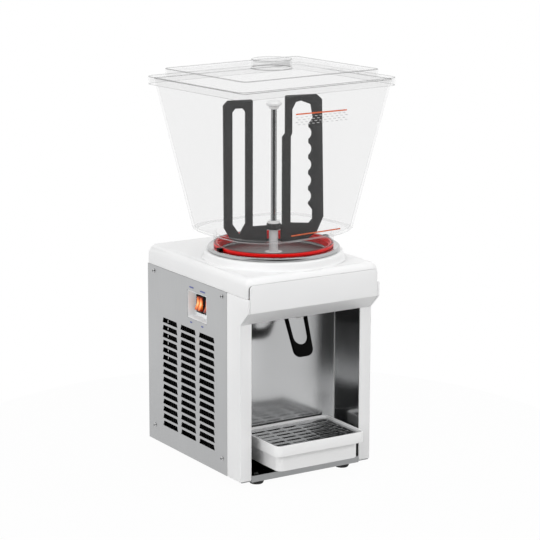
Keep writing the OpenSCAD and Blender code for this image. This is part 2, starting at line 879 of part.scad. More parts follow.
module fascia() {
    slope = bevel_h / overhang;
    rise = shell_t * norm([overhang, bevel_h]) / overhang;
    bevel_top = bay_top + bevel_h;
    back_flange = front_y + 10;
    inner_foot = fascia_y + (bevel_top + rise - ceiling_z) / slope;
    color(white) intersection() {
        along_x(-fascia_half, fascia_half) polygon([
            [fascia_y, fascia_top], [fascia_y, bevel_top], [front_y, bay_top], [back_flange, bay_top],
            [back_flange, ceiling_z - fit], [inner_foot, ceiling_z - fit],
            [fascia_y + shell_t, bevel_top + rise - shell_t * slope], [fascia_y + shell_t, fascia_top]]);
        along_y(fascia_y - cut, back_flange + cut) fascia_front(fascia_half, base_z, fascia_top, fascia_r);
    }
}

module screw_x() {
    rotate([0, 90, 0]) rotate_extrude() polygon([
        [0, -screw_head_h], [screw_head_d / 3, -screw_head_h], [screw_head_d / 2, -screw_head_h / 2],
        [screw_head_d / 2, 0], [screw_d / 2, 0], [screw_d / 2, screw_l], [0, screw_l]]);
}

module panel_screws() {
    color(steel) both_sides() for (y = [screw_front_y, screw_back_y], z = [screw_low_z, screw_high_z]) {
        translate([-half_w - fit, y, z]) screw_x();
    }
}

// Cup bay

module bay_liner() {
    outer = bay_half + sheet_t;
    y0 = front_y + shell_t + fit;
    color(steel) {
        both_sides() box([bay_half, y0, base_z], [outer, bay_back + sheet_t, bay_top - fit]);
        box([-outer, bay_back, base_z], [outer, bay_back + sheet_t, ceiling_z - fit]);
    }
}

module bay_ceiling() {
    slot_x = lever_w / 2 + slot_gap;
    outer = bay_half + sheet_t;
    color(steel) difference() {
        box([-outer, front_y + ceiling_in, ceiling_z], [outer, bay_back + ceiling_lap, ceiling_top]);
        box([-slot_x, slot_front, ceiling_z - cut], [slot_x, slot_back, ceiling_top + cut]);
        translate([0, tube_y, ceiling_z - cut]) cylinder(d = tube_d + hole_gap, h = sheet_t + 2 * cut);
    }
}

module bay_floor() {
    x = bay_half - fit;
    color(black) difference() {
        box([-x, front_y + sheet_t + fit, base_z], [x, bay_back - fit, base_z + bay_floor_t]);
        at_feet() translate([0, 0, base_z - cut])
            cylinder(d = 2 * foot_screw_d + hole_gap, h = bay_floor_t + 2 * cut);
    }
}

module tray_rails() {
    color(black) both_sides() box([rail_step / 2 - rail_w / 2, front_y + 6, base_z + bay_floor_t],
        [rail_step / 2 + rail_w / 2, bay_back - fit, tray_z - fit]);
}

module drip_tray() {
    low_w = tray_w - 2 * tray_inset;
    low_d = tray_d - 2 * tray_inset;
    step_z0 = tray_top - tray_rim_h;
    color(white) translate([0, tray_mid, 0]) difference() {
        union() {
            rounded_box(tray_w, tray_d, tray_r, step_z0, tray_top);
            rounded_box(low_w, low_d, tray_r, tray_z, tray_top - tray_rim_h / 2);
        }
        rounded_box(tray_w - 2 * tray_t, tray_d - 2 * tray_t, tray_r - tray_t, ledge_z, tray_top + cut);
        rounded_box(low_w - 2 * tray_t, low_d - 2 * tray_t, tray_r - tray_t, tray_z + tray_t, tray_top);
    }
}

module grille_slot() {
    straight = slot_l - slot_w;
    square([straight, slot_w], center = true);
    for (sx = [-1, 1]) {
        translate([sx * straight / 2, 0]) circle(d = slot_w, $fn = 24);
    }
}

module tray_grille() {
    skirt_z = ledge_z + fit;
    inner_w = grille_w - 2 * sheet_t;
    inner_d = grille_d - 2 * sheet_t;
    inner_r = grille_r - sheet_t;
    color(steel) translate([0, tray_mid, 0]) difference() {
        rounded_box(grille_w, grille_d, grille_r, skirt_z, grille_top);
        rounded_box(inner_w, inner_d, inner_r, skirt_z - cut, grille_top - sheet_t);
        translate([0, 0, grille_top - 2 * sheet_t]) linear_extrude(3 * sheet_t)
            for (column = [0 : grille_columns - 1], row = [0 : grille_rows - 1]) {
                translate([(column - (grille_columns - 1) / 2) * slot_step_x,
                    (row - (grille_rows - 1) / 2) * slot_step_y]) grille_slot();
            }
    }
}

// Switches

module switch_places() {
    for (sy = [-1, 1]) {
        translate([0, recess_y + sy * switch_step / 2, recess_z]) children();
    }
}

module centred_x(w, h, x0, x1) {
    translate([x0, -w / 2, -h / 2]) cube([x1 - x0, w, h]);
}

module switch_recess() {
    inner = -half_w + sheet_t + fit;
    side = recess_w + 2 * recess_t;
    tall = recess_h + 2 * recess_t;
    color(white) difference() {
        translate([0, recess_y, recess_z]) difference() {
            union() {
                centred_x(recess_w - 2 * recess_gap, recess_h - 2 * fit, -half_w, recess_x + recess_t);
                centred_x(side, tall, inner, recess_x + recess_t);
                centred_x(side + 2 * recess_lap, tall + 2 * recess_lap, inner, inner + recess_t);
            }
            centred_x(recess_w - 2 * recess_gap - 2 * lip_t, recess_h - 2 * fit - 2 * lip_t,
                -half_w - cut, recess_x);
        }
        switch_places() centred_x(switch_w - 2 * bezel_lap + 2 * fit, switch_h - 2 * bezel_lap + 2 * fit,
            recess_x - cut, recess_x + recess_t + cut);
    }
}

module switch_bodies() {
    window_w = switch_w - 2 * bezel_border;
    window_h = switch_h - 2 * bezel_border;
    pin_half = window_w / 2 + pin_in + clearance;
    color(black) switch_places() difference() {
        union() {
            centred_x(switch_w, switch_h, bezel_x, recess_x - fit);
            centred_x(switch_w - 2 * bezel_lap, switch_h - 2 * bezel_lap, recess_x - fit - cut,
                recess_x + switch_body);
        }
        centred_x(window_w, window_h, bezel_x - cut, rocker_x + rocker_room);
        translate([rocker_x, 0, 0]) rod_y(rocker_pin_d + 2 * running, -pin_half, pin_half);
    }
}

module rocker() {
    pin_half = rocker_w / 2 + clearance + pin_in;
    translate([rocker_x, 0, recess_z]) rotate([0, rocker_tilt, 0]) {
        along_y(-rocker_w / 2, rocker_w / 2) polygon([
            [-rocker_rise, -rocker_half], [-rocker_rise / 2, 0], [-rocker_rise, rocker_half],
            [1, rocker_half], [5, rocker_half - 5], [5, 5 - rocker_half], [1, -rocker_half]]);
        rod_y(rocker_pin_d, -pin_half, pin_half);
    }
}

module mixing_rocker() {
    color(red) translate([0, recess_y + switch_step / 2, 0]) rocker();
}

module cooling_rocker() {
    color(red) translate([0, recess_y - switch_step / 2, 0]) rocker();
}

// Tap

// A line of points down one side and back up its mirror image
function mirrored(p) = concat(p, [for (i = [last(p) : -1 : 0]) [-p[i].x, p[i].y]]);

module push_lever() {
    r = lever_w / 2;
    foot = [lever_foot_w / 2 - lever_foot_r, lever_foot_r - lever_l];
    // Inward slope of the arms' outer edges, which run into the foot's round corners
    slope = atan((r - foot.x) / -foot.y) - asin(lever_foot_r / norm([r - foot.x, foot.y]));
    outward = [cos(slope), -sin(slope)];
    inner = r * cos(slope) - lever_arm_w;
    window_r = (inner + sin(slope) * (lever_end - lever_l)) / (1 - sin(slope));
    window = [0, lever_end + window_r - lever_l];
    color(black) translate([0, pivot_y, pivot_z]) rotate([-lever_lean, 0, 0]) difference() {
        union() {
            along_y(-lever_t / 2, lever_t / 2) difference() {
                union() {
                    polygon(mirrored([[r, 0], foot + lever_foot_r * outward, [foot.x, -lever_l]]));
                    for (sx = [-1, 1]) {
                        translate([sx * foot.x, foot.y]) circle(lever_foot_r);
                    }
                }
                polygon(mirrored([[(inner + sin(slope) * head_r) / cos(slope), head_r],
                    window + window_r * outward]));
                translate(window) circle(window_r);
            }
            both_sides() rod_x(2 * head_r, arm_in, r);
        }
        rod_x(pin_d + 2 * running, -lever_w, lever_w);
    }
}

module lever_pin() {
    x = lever_w / 2 + clearance;
    color(steel) translate([0, pivot_y, pivot_z]) {
        rod_x(pin_d, -x - pin_head, x);
        rod_x(pin_d + 2 * pin_rim, x, x + pin_head);
    }
}

module valve_bracket() {
    inner = bracket_half - bracket_t;
    low_z = ceiling_top + fit;
    top = deck_z - fit;
    color(white) difference() {
        union() {
            both_sides() box([inner, bracket_front, low_z], [bracket_half, bracket_back, top]);
            box([-bracket_half, bracket_front, low_z], [bracket_half, bracket_front + bracket_t, top]);
            box([-bracket_half, bracket_back - bracket_t, low_z], [bracket_half, bracket_back, top]);
            box([-bracket_half, bracket_front, top - bracket_t], [bracket_half, bracket_back, top]);
        }
        translate([0, tube_y, top - 2 * bracket_t]) cylinder(d = tube_d + 2 * fit, h = 3 * bracket_t);
        translate([0, pivot_y, pivot_z]) rod_x(pin_d + 2 * running, -lever_w, lever_w);
        translate([-lever_w, cross_rest, slide_z]) cross_slot();
        translate([0, bracket_back, slide_z]) rod_y(peg_d + hole_gap, -2 * bracket_t, bracket_t);
    }
}

module cross_slot() {
    h = pin_d / 2 + clearance;
    translate([0, -h, -h]) cube([2 * lever_w, slide_travel + 2 * h, 2 * h]);
}

module pinch_slide() {
    x = bracket_half - bracket_t - clearance;
    pin_x = lever_w / 2 + slot_gap;
    z = slide_h / 2;
    color(black) translate([0, 0, slide_z]) {
        box([-x, squeeze_y + clearance, -z], [x, slide_back, z]);
        translate([0, cross_rest, 0]) rod_x(pin_d, -pin_x, pin_x);
        rod_y(peg_d, slide_back - cut, slide_back + peg_l);
    }
}

module valve_spring() {
    y0 = slide_back + fit + spring_wire / 2;
    y1 = bracket_back - bracket_t - fit - spring_wire / 2;
    r = spring_d / 2 - spring_wire / 2;
    steps = 16 * spring_turns;
    turns = [for (i = [0 : steps])
        [r * cos(360 * i / 16), y0 + (y1 - y0) * i / steps, slide_z + r * sin(360 * i / 16)]];
    color(steel) pipe(turns, spring_wire, [1, 0, 0], 6);
}

module outlet_tube() {
    top = dish_z - dish_t - fit;
    low = ceiling_z - tube_reach;
    notch = slide_h / 2 + clearance;
    color(white) translate([0, tube_y, 0]) difference() {
        tube_z(tube_d, tube_bore, low, top);
        box([-tube_d, squeeze_y - tube_y, slide_z - notch], [tube_d, tube_d, slide_z + notch]);
    }
}

// Bowl seat

module cooling_dish() {
    wall = dish_r + dish_t;
    roll = ring_h / 2;
    spigot_d = tube_bore - 2 * running;
    color(steel) difference() {
        union() {
            translate([0, bowl_y, 0]) {
                rotate_extrude($fn = 96) union() {
                    polygon([[post_bore / 2, dish_z - dish_t], [wall, dish_z - dish_t],
                        [wall, flange_z - dish_t], [ring_d / 2 - roll, flange_z - dish_t],
                        [ring_d / 2 - roll, flange_z], [dish_r, flange_z], [dish_r, dish_z],
                        [post_d / 2, dish_z], [post_d / 2, post_top], [post_bore / 2, post_top]]);
                    translate([ring_d / 2 - roll, collar_z + roll]) circle(roll);
                }
            }
            translate([0, tube_y, dish_z - dish_t - spigot_l]) cylinder(d = spigot_d, h = spigot_l + dish_t);
        }
        translate([0, tube_y, dish_z - dish_t - spigot_l - cut])
            cylinder(d = spigot_d - 2 * dish_t, h = spigot_l + dish_t + 2 * cut);
        at_clips() translate([0, 0, flange_z - dish_t - cut])
            cylinder(d = clip_pin_d + 2 * fit, h = dish_t + 2 * cut);
    }
}

module bowl_gasket() {
    r = neck_d / 2;
    out = dish_r - fit;
    in = out - cuff_t;
    color(red) translate([0, bowl_y, gasket_z]) rotate_extrude($fn = 96) polygon([
        [in, -cuff_h], [out, -cuff_h], [out, 0], [r - 1, 0], [r, cuff_t], [r, gasket_h - cuff_t],
        [r - 1, gasket_h], [gasket_in, gasket_h], [gasket_in, cuff_t], [in, cuff_t]]);
}

module at_clips() {
    both_sides() translate([neck_d / 2 + clip_out, bowl_y, 0]) children();
}

module bowl_clips() {
    z0 = ring_top + fit;
    pin_z = flange_z - dish_t - 1;
    color(black) at_clips() {
        translate([cut - clip_out, -clip_w / 2, z0]) cube([clip_d, clip_w, gasket_h]);
        translate([0, 0, pin_z]) cylinder(d = clip_pin_d, h = z0 + gasket_h / 2 - pin_z);
    }
}

module shaft_bush() {
    color(white) translate([0, bowl_y, 0])
        tube_z(post_bore - 2 * running, shaft_d + 2 * running, post_top - bush_l, post_top - fit);
}

// Bowl and lid

module bowl_corner(w, d, r, z) {
    for (sx = [-1, 1], sy = [-1, 1]) {
        translate([sx * (w / 2 - r), sy * (d / 2 - r), z]) cylinder(r = r, h = 0.01, $fn = 48);
    }
}

// The flared outside of the bowl, drawn in by a wall at a time
module bowl_flare(t, low_z, top_z) {
    hull() {
        bowl_corner(bowl_w - 2 * t, bowl_d - 2 * t, bowl_r - t, top_z);
        bowl_corner(bowl_low_w - 2 * t, bowl_low_d - 2 * t, bowl_low_r - t, low_z + bowl_edge);
        bowl_corner(bowl_low_w - 2 * t - bowl_edge, bowl_low_d - 2 * t - bowl_edge / 2, bowl_low_r,
            low_z + bowl_edge / 3);
        translate([0, 0, low_z]) cylinder(d = bowl_low_d - 2 * t - bowl_edge, h = 0.01, $fn = 72);
    }
}

// Turned and set back as the bowl stands on its neck
module on_neck(back = 0) {
    translate([0, bowl_y + bowl_back + back, 0]) rotate([0, 0, bowl_turn]) children();
}

module bowl() {
    bore = neck_d - 2 * bowl_t;
    color(clear) difference() {
        union() {
            on_neck() bowl_flare(0, bowl_floor_z, rim_z);
            translate([0, bowl_y, neck_z]) cylinder(d = neck_d, h = neck_h + bowl_t, $fn = 96);
        }
        on_neck() bowl_flare(bowl_t, bowl_floor_z + bowl_t, rim_z + cut);
        translate([0, bowl_y, neck_z - cut]) cylinder(d = bore, h = neck_h + bowl_t + 2 * cut, $fn = 96);
    }
}

module lid() {
    step_w = lid_w - 2 * step_in;
    step_d = lid_d - 2 * step_in;
    color(clear) on_neck(lid_back) difference() {
        union() {
            rounded_box(lid_w, lid_d, lid_r, lid_z + lid_t - lid_skirt, lid_z + lid_t);
            rounded_box(step_w, step_d, step_r, lid_z, step_z);
            translate([0, 0, step_z - lid_t]) cylinder(d = knob_d, h = knob_h + lid_t);
        }
        rounded_box(lid_w - 2 * lid_t, lid_d - 2 * lid_t, lid_r - lid_t, lid_z - lid_skirt, lid_z);
        rounded_box(step_w - 2 * lid_t, step_d - 2 * lid_t, step_r - lid_t, lid_z - cut, step_z - lid_t);
        translate([0, 0, step_z - 2 * lid_t]) cylinder(d = knob_d - 2 * lid_t, h = knob_h + lid_t);
    }
}

// Agitator, drawn in its own plane with the axis at zero and the lower edge at zero

module agitator_outline() {
    r = agitator_r;
    top = agitator_h;
    notch = post_d / 2 + 5;
    jog_z = top * 0.72;
    polygon([[-notch, 0], [-r + 26, 5], [-r + 12, 12], [-r + 1, crossbar_h], [-r, top - 12],
        [-r + 8, top - 4],
        [-left_gap, top - 4], [-left_gap, crossbar_h], [right_gap, crossbar_h], [right_gap, jog_z],
        [right_gap + bar_jog, jog_z + 6], [right_gap + bar_jog, top], [r - 14, top], [r - 4, top - 9],
        [r, 40], [r - 12, 14], [r - 30, 2], [notch, 0], [notch, notch_h], [-notch, notch_h]]);
}

module left_window() {
    x0 = outer_bar - agitator_r;
    x1 = -left_gap - inner_bar;
    top = agitator_h - 18;
    polygon([[x0, crossbar_h + 6], [x0, top - 6], [x0 + 5, top], [x1 - 5, top], [x1, top - 6],
        [x1, crossbar_h + 6], [(x0 + x1) / 2 + 1, 19]]);
}

module right_window() {
    x0 = right_gap + inner_bar + 2;
    x1 = agitator_r - outer_bar - 4;
    top = agitator_h - 10;
    grip_top = agitator_h * 0.79;
    grip_low = grip_top - finger_count * finger_step;
    jog_z = agitator_h * 0.72;
    grip_x = x1 - finger_depth - 2;
    polygon([[x0, crossbar_h + 2], [x0, jog_z], [x0 + bar_jog / 2, jog_z + 6], [x0 + bar_jog / 2, top - 14],
        [x0 + 9, top - 2], [x0 + 18, top], [x1 - 4, top - 7], [x1, grip_top + 12], [grip_x, grip_top + 2],
        [grip_x, grip_low], [x1, grip_low - 10], [x1, crossbar_h + 6], [x1 - 6, crossbar_h - 1]]);
    for (i = [0 : finger_count - 1]) {
        translate([grip_x + finger_depth - 12, grip_top - (i + 0.5) * finger_step]) circle(12, $fn = 32);
    }
}

module on_axis() {
    translate([0, bowl_y, 0]) rotate([0, 0, agitator_turn]) children();
}

module agitator_frame() {
    color(black) on_axis() difference() {
        union() {
            translate([0, 0, agitator_z]) along_y(-agitator_t / 2, agitator_t / 2)
                offset(agitator_round, $fn = 24) offset(delta = -agitator_round) difference() {
                    agitator_outline();
                    left_window();
                    right_window();
                }
            translate([0, 0, hub_z]) cylinder(d = hub_d, h = hub_h);
        }
        translate([0, 0, hub_z - cut]) cylinder(d = shaft_d + 2 * running, h = hub_h + 2 * cut);
    }
}

module agitator_rod() {
    color(steel) on_axis() translate([0, 0, rod_z]) cylinder(d = rod_d, h = rod_l);
}

module hub_washer() {
    color(white) on_axis() tube_z(2 * rod_d, rod_d + 2 * running, rod_z, rod_z + washer_h);
}

module rod_cap() {
    bore_r = rod_d / 2 + running;
    color(white) on_axis() rotate_extrude() polygon([
        [bore_r, cap_z - 4], [bore_r + 2, cap_z - 4], [cap_d / 2 - 4, cap_z], [cap_d / 2, cap_z + 3],
        [cap_d / 2, cap_z + cap_h - 4], [cap_d / 2 - 4, cap_z + cap_h], [0, cap_z + cap_h],
        [0, cap_z + cap_depth + fit], [bore_r, cap_z + cap_depth + fit]]);
}

module drive_shaft() {
    color(steel) on_axis() translate([0, 0, shaft_foot]) cylinder(d = shaft_d, h = hub_top - shaft_foot);
}

// Inside

module coil_legs(d, z0, z1) {
    for (p = [coil_start, coil_end]) {
        translate([p[0], p[1], z0]) cylinder(d = d, h = z1 - z0);
    }
}

module top_deck() {
    flange_z0 = screw_high_z - screw_edge;
    y0 = front_y + 3;
    color(steel) difference() {
        union() {
            box([-fascia_half, y0, deck_z], [fascia_half, panel_y + 4, deck_top]);
            box([-inner_x, panel_y + fit, deck_z], [inner_x, inner_back, deck_top]);
            both_sides() box([inner_x - sheet_t, panel_y + fit, flange_z0],
                [inner_x, inner_back, deck_top]);
        }
        translate([0, tube_y, deck_z - cut]) cylinder(d = tube_d + hole_gap, h = sheet_t + 2 * cut);
        translate([0, bowl_y, deck_z - cut]) cylinder(d = hub_d + 2 * fit, h = sheet_t + 2 * cut);
        coil_legs(pipe_d + hole_gap, deck_z - cut, deck_top + cut);
        along_x(-half_w, half_w) panel_holes();
        translate([-half_w, recess_y, recess_z])
            centred_x(recess_w + 4 * recess_lap, recess_h + 4 * recess_lap, 0, half_w / 2);
    }
}

module insulation() {
    color([0.9, 0.88, 0.8]) difference() {
        translate([0, bowl_y, foam_z]) cylinder(r = foam_r, h = foam_top - foam_z);
        translate([0, tube_y, foam_z - cut]) cylinder(d = tube_d + hole_gap, h = 2 * foam_top);
        translate([0, bowl_y, foam_z - cut]) cylinder(d = hub_d + hole_gap, h = 2 * foam_top);
        coil_legs(pipe_d + hole_gap, foam_z - cut, foam_top + cut);
    }
}

module evaporator_coil() {
    steps = ceil(24 * coil_turns);
    spiral = [for (i = [0 : steps])
        let (t = coil_turns * i / steps, r = coil_in + coil_step * t)
            [r * cos(360 * t), bowl_y + r * sin(360 * t), coil_z]];
    low = [for (p = [coil_start, coil_end]) [p[0], p[1], coil_leg_z]];
    color(copper) pipe(concat([low[0]], [low[0] + [0, 0, coil_z - coil_leg_z - pipe_d]], spiral,
        [low[1] + [0, 0, coil_z - coil_leg_z - pipe_d]], [low[1]]), pipe_d, [1, 0, 0]);
}

module drive_motor() {
    boss_d = hub_d;
    winding_y = gearbox_y + gearbox_l - winding_d / 2 - 4;
    color([0.35, 0.36, 0.38]) difference() {
        union() {
            box([-gearbox_w / 2, gearbox_y, gearbox_z], [gearbox_w / 2, gearbox_y + gearbox_l, deck_z - fit]);
            translate([0, bowl_y, gearbox_z]) cylinder(d = boss_d, h = boss_top - gearbox_z);
            translate([0, winding_y, gearbox_z - winding_h]) cylinder(d = winding_d, h = winding_h + cut);
        }
        translate([0, bowl_y, shaft_foot - fit]) cylinder(d = shaft_d + 2 * running, h = boss_top);
    }
}

module at_compressor() {
    translate([compressor_x, compressor_y, 0]) children();
}

module at_mounts() {
    for (sx = [-1, 1], sy = [-1, 1]) {
        at_compressor() translate([sx * mount_step / 2, sy * mount_step / 2, 0]) children();
    }
}

module compressor() {
    r = compressor_d / 2;
    plate = 2 * sheet_t;
    h = compressor_h;
    color(black) difference() {
        at_compressor() translate([0, 0, compressor_z]) {
            rounded_box(compressor_d + 4, compressor_d + 4, 12, 0, plate);
            translate([0, 0, plate]) rotate_extrude() polygon([
                [0, 0], [r - 12, 0], [r - 4, 6], [r, 18], [r, h - 28], [r - 4, h - 14], [r - 14, h - 4],
                [r - 26, h], [0, h]]);
            for (sx = [-1, 1]) {
                translate([sx * stub_x, 0, h]) cylinder(d = pipe_d + 2, h = plate + stub_h);
            }
        }
        at_mounts() translate([0, 0, compressor_z - cut])
            cylinder(d = mount_pin_d + 2 * fit, h = plate + 2 * cut);
    }
}

module compressor_mounts() {
    color(black) at_mounts() {
        translate([0, 0, base_z]) cylinder(d = mount_d, h = mount_h);
        translate([0, 0, base_z]) cylinder(d = mount_pin_d, h = mount_h + mount_pin_d);
    }
}

module condenser() {
    fins = floor((vents_d - fin_t) / fin_step);
    tubes = 5;
    x1 = condenser_x + condenser_w;
    y1 = vent_y + fins * fin_step;
    top = vent_z + vents_h;
    color([0.2, 0.2, 0.21]) {
        for (i = [0 : fins]) {
            low = i == 0 || i == fins ? base_z : vent_z;
            translate([condenser_x, vent_y + i * fin_step, low]) cube([condenser_w, fin_t, top - low]);
        }
        for (k = [0 : tubes - 1]) {
            translate([condenser_x + condenser_w / 2, 0, vent_z + vents_h * (k + 0.5) / tubes])
                rod_y(pipe_d, vent_y - 2, y1 + fin_t + 2);
        }
    }
}

module fan_shroud() {
    color(black) difference() {
        box([shroud_x, vent_y, vent_z], [shroud_x + sheet_t, vent_y + vents_d, vent_z + vents_h]);
        translate([shroud_x - cut, fan_y, fan_z]) rod_x(fan_d + 8, 0, sheet_t + 2 * cut);
    }
}

module fan_blade() {
    r = fan_d / 2;
    hub_r = fan_hub_d / 2;
    mid_x = fan_hub_h / 2;
    color([0.25, 0.25, 0.27]) translate([fan_x, fan_y, fan_z]) {
        rod_x(fan_hub_d, 0, fan_hub_h);
        rod_x(fan_shaft_d, 0, fan_hub_h + motor_gap + fan_shaft_in);
        for (i = [0 : fan_blades - 1]) {
            rotate([360 * i / fan_blades, 0, 0]) translate([mid_x, 0, 0]) rotate([0, 0, fan_pitch])
                translate([-blade_t / 2, -blade_w / 2, hub_r - blade_root])
                    cube([blade_t, blade_w, r - hub_r + blade_root - 1]);
        }
    }
}

module fan_motor() {
    color(black) translate([fan_motor_x, fan_y, fan_z]) difference() {
        rod_x(fan_motor_d, 0, fan_motor_l);
        rod_x(fan_shaft_d + 2 * running, -cut, fan_shaft_in + cut);
    }
}

module fan_bracket() {
    x = fan_motor_x + fan_motor_l / 2;
    half = fan_motor_d / 2 + bracket_edge;
    color(steel) difference() {
        union() {
            box([x, fan_y - half, base_z], [x + 2 * sheet_t, fan_y + half, fan_z + half]);
            box([x, fan_y - half, base_z], [x + 2 * bracket_edge, fan_y + half, base_z + sheet_t]);
        }
        translate([0, fan_y, fan_z]) rod_x(fan_motor_d + 2 * fit, x - cut, x + 2 * sheet_t + cut);
    }
}

module filter_drier() {
    color(copper) translate([drier_x, drier_y, drier_z]) rotate_extrude() polygon([
        [0, 0], [pipe_d / 2, 0], [drier_d / 2, 8], [drier_d / 2, drier_l - 8], [pipe_d / 2, drier_l],
        [0, drier_l]]);
}

module discharge_pipe() {
    start = [compressor_x - stub_x, compressor_y, compressor_top + stub_h];
    end = [condenser_x + condenser_w / 2, compressor_y, vent_z + vents_h];
    color(copper) pipe(eased([start, [start[0], start[1], pipe_mid_z], [end[0], end[1], pipe_mid_z],
        end], pipe_d), pipe_d, [1, 0, 0]);
}

module liquid_pipe() {
    y = vent_y + fin_step * 1.5;
    start = [condenser_x + condenser_w / 2, y, vent_z + vents_h];
    end = [drier_x, drier_y, drier_z + drier_l];
    color(copper) pipe(eased([start, [start[0], y, pipe_low_z], [end[0], end[1], pipe_low_z], end],
        pipe_d), pipe_d, [1, 0, 0]);
}

module capillary_tube() {
    side = drier_x + drier_d / 2 + 10;
    low = drier_z - 12;
    high = coil_leg_z - 12;
    end = [coil_start[0], coil_start[1], coil_leg_z];
    color(copper) pipe(eased([[drier_x, drier_y, drier_z], [drier_x, drier_y, low], [side, drier_y, low],
        [side, drier_y, high], [end[0], end[1], high], end], 2 * capillary_d), capillary_d, [1, 0, 0]);
}

module suction_pipe() {
    start = [coil_end[0], coil_end[1], coil_leg_z];
    end = [compressor_x + stub_x, compressor_y, compressor_top + stub_h];
    color(copper) pipe(eased([start, [start[0], start[1], pipe_high_z], [end[0], end[1], pipe_high_z],
        end], pipe_d), pipe_d, [1, 0, 0]);
}

module thermostat() {
    low = [-inner_x + box_in, compressor_y, deck_z - fit - thermostat_size[2]];
    color([0.8, 0.8, 0.78]) box(low, low + thermostat_size);
}

module control_box() {
    low = [inner_x - box_in - control_size[0], compressor_y + 10, deck_z - fit - control_size[2]];
    color(black) box(low, low + control_size);
}

base_pan();
feet();
foot_screws();
left_side_panel();
right_side_panel();
back_panel();
left_pillar();
right_pillar();
top_cover();
fascia();
panel_screws();
bay_liner();
bay_ceiling();
bay_floor();
tray_rails();
drip_tray();
tray_grille();
switch_recess();
switch_bodies();
mixing_rocker();
cooling_rocker();
push_lever();
lever_pin();
valve_bracket();
pinch_slide();
valve_spring();
outlet_tube();
cooling_dish();
bowl_gasket();
bowl_clips();
shaft_bush();
bowl();
lid();
agitator_frame();
agitator_rod();
rod_cap();
hub_washer();
drive_shaft();
top_deck();
insulation();
evaporator_coil();
drive_motor();
compressor();
compressor_mounts();
condenser();
fan_shroud();
fan_blade();
fan_motor();
fan_bracket();
filter_drier();
discharge_pipe();
liquid_pipe();
capillary_tube();
suction_pipe();
thermostat();
control_box();
cable_inlet();
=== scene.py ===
# %% [markdown]
# A refrigerated juice dispenser: a white cabinet with steel sides, a cup bay with a push lever,
# and a clear bowl with an agitator on top. The CAD model gives every size and joint, so this
# lesson only dresses it: softer edges, finer shapes and real finishes, in the same frame.

# %% Load the frame
import json
import math

import bmesh
import bpy
from mathutils import Matrix, Vector
from mathutils.bvhtree import BVHTree


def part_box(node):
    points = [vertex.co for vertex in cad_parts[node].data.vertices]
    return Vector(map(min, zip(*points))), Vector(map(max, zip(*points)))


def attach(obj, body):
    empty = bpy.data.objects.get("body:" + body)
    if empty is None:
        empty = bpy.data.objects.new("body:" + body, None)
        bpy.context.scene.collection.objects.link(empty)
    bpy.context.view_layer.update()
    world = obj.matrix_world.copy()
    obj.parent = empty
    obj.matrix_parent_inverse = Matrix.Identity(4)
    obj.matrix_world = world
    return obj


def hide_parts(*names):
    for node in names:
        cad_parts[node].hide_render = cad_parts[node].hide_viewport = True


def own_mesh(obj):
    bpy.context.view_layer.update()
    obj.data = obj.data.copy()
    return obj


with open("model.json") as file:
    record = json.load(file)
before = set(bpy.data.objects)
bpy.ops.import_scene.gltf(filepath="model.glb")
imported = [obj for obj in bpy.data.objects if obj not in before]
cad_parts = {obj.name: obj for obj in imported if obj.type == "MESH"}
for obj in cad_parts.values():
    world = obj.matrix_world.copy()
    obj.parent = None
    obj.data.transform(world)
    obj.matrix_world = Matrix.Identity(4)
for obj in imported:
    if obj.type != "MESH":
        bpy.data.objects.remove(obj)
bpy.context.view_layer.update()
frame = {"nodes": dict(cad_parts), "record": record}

nodes = frame["nodes"]
behaviour = frame["record"]["behaviour"]
body_of_node = {node: body for body, listed in behaviour["bodies"].items() for node in listed}
slot_of_node = {piece["node"]: piece["material_slot"] for piece in frame["record"]["subparts"]}

# %% [markdown]
# The camera stands where the photo was taken from: a little above the cabinet, to its left, far
# away with a long lens. Its three axes come from the vanishing points of the cabinet's edges.
# A camera could also be aimed with a Track To constraint, but axes give the exact view at once.

# %% Camera
CAMERA_PLACE = (-1.8726, -2.9990, 1.1224)
CAMERA_RIGHT, CAMERA_AHEAD = (0.8524, -0.5229, 0.0), (0.5112, 0.8333, -0.2103)
LENS_MM, SENSOR_MM, FAR_END = 141.4, 36, 50
SHIFT_X, SHIFT_Y = 0.0398, -0.0299


def new_object(name, data):
    piece = bpy.data.objects.new(name, data)
    bpy.context.collection.objects.link(piece)
    return piece


right, ahead = Vector(CAMERA_RIGHT).normalized(), Vector(CAMERA_AHEAD).normalized()
up = right.cross(ahead).normalized()
axes = Matrix((right, up, -ahead)).transposed().to_4x4()
camera = new_object("camera", bpy.data.cameras.new("camera"))
camera.matrix_world = Matrix.Translation(CAMERA_PLACE) @ axes
camera.data.lens = LENS_MM
camera.data.sensor_width = SENSOR_MM
camera.data.shift_x = SHIFT_X
camera.data.shift_y = SHIFT_Y
camera.data.clip_end = FAR_END
bpy.context.scene.camera = camera
print("camera", CAMERA_PLACE)

# %% [markdown]
# Node trees make the finishes, and the shapes that repeat. Written out, every node takes several
# lines, so three helpers come first: one adds a node with its inputs, one links into a node that
# is there already, and one does a sum. They serve shader trees and geometry trees alike.

# %% Helpers for node trees
def step(tree, kind, links=None, **settings):
    """Adds one node: settings are its own properties, links its inputs (a socket or a value)."""
    node = tree.nodes.new(kind)
    for key, value in settings.items():
        setattr(node, key, value)
    for key, value in (links or {}).items():
        if isinstance(value, bpy.types.NodeSocket):
            tree.links.new(value, node.inputs[key])
        else:
            node.inputs[key].default_value = value
    return node


def feed(node, **sources):
    """Links sockets into a node's inputs, with _ for a space in an input's name."""
    for label, source in sources.items():
        node.id_data.links.new(source, node.inputs[label.replace("_", " ")])


def reckon(tree, kind, *values):
    return step(tree, "ShaderNodeMath", dict(enumerate(values)), operation=kind).outputs[0]


print("tree helpers ready")

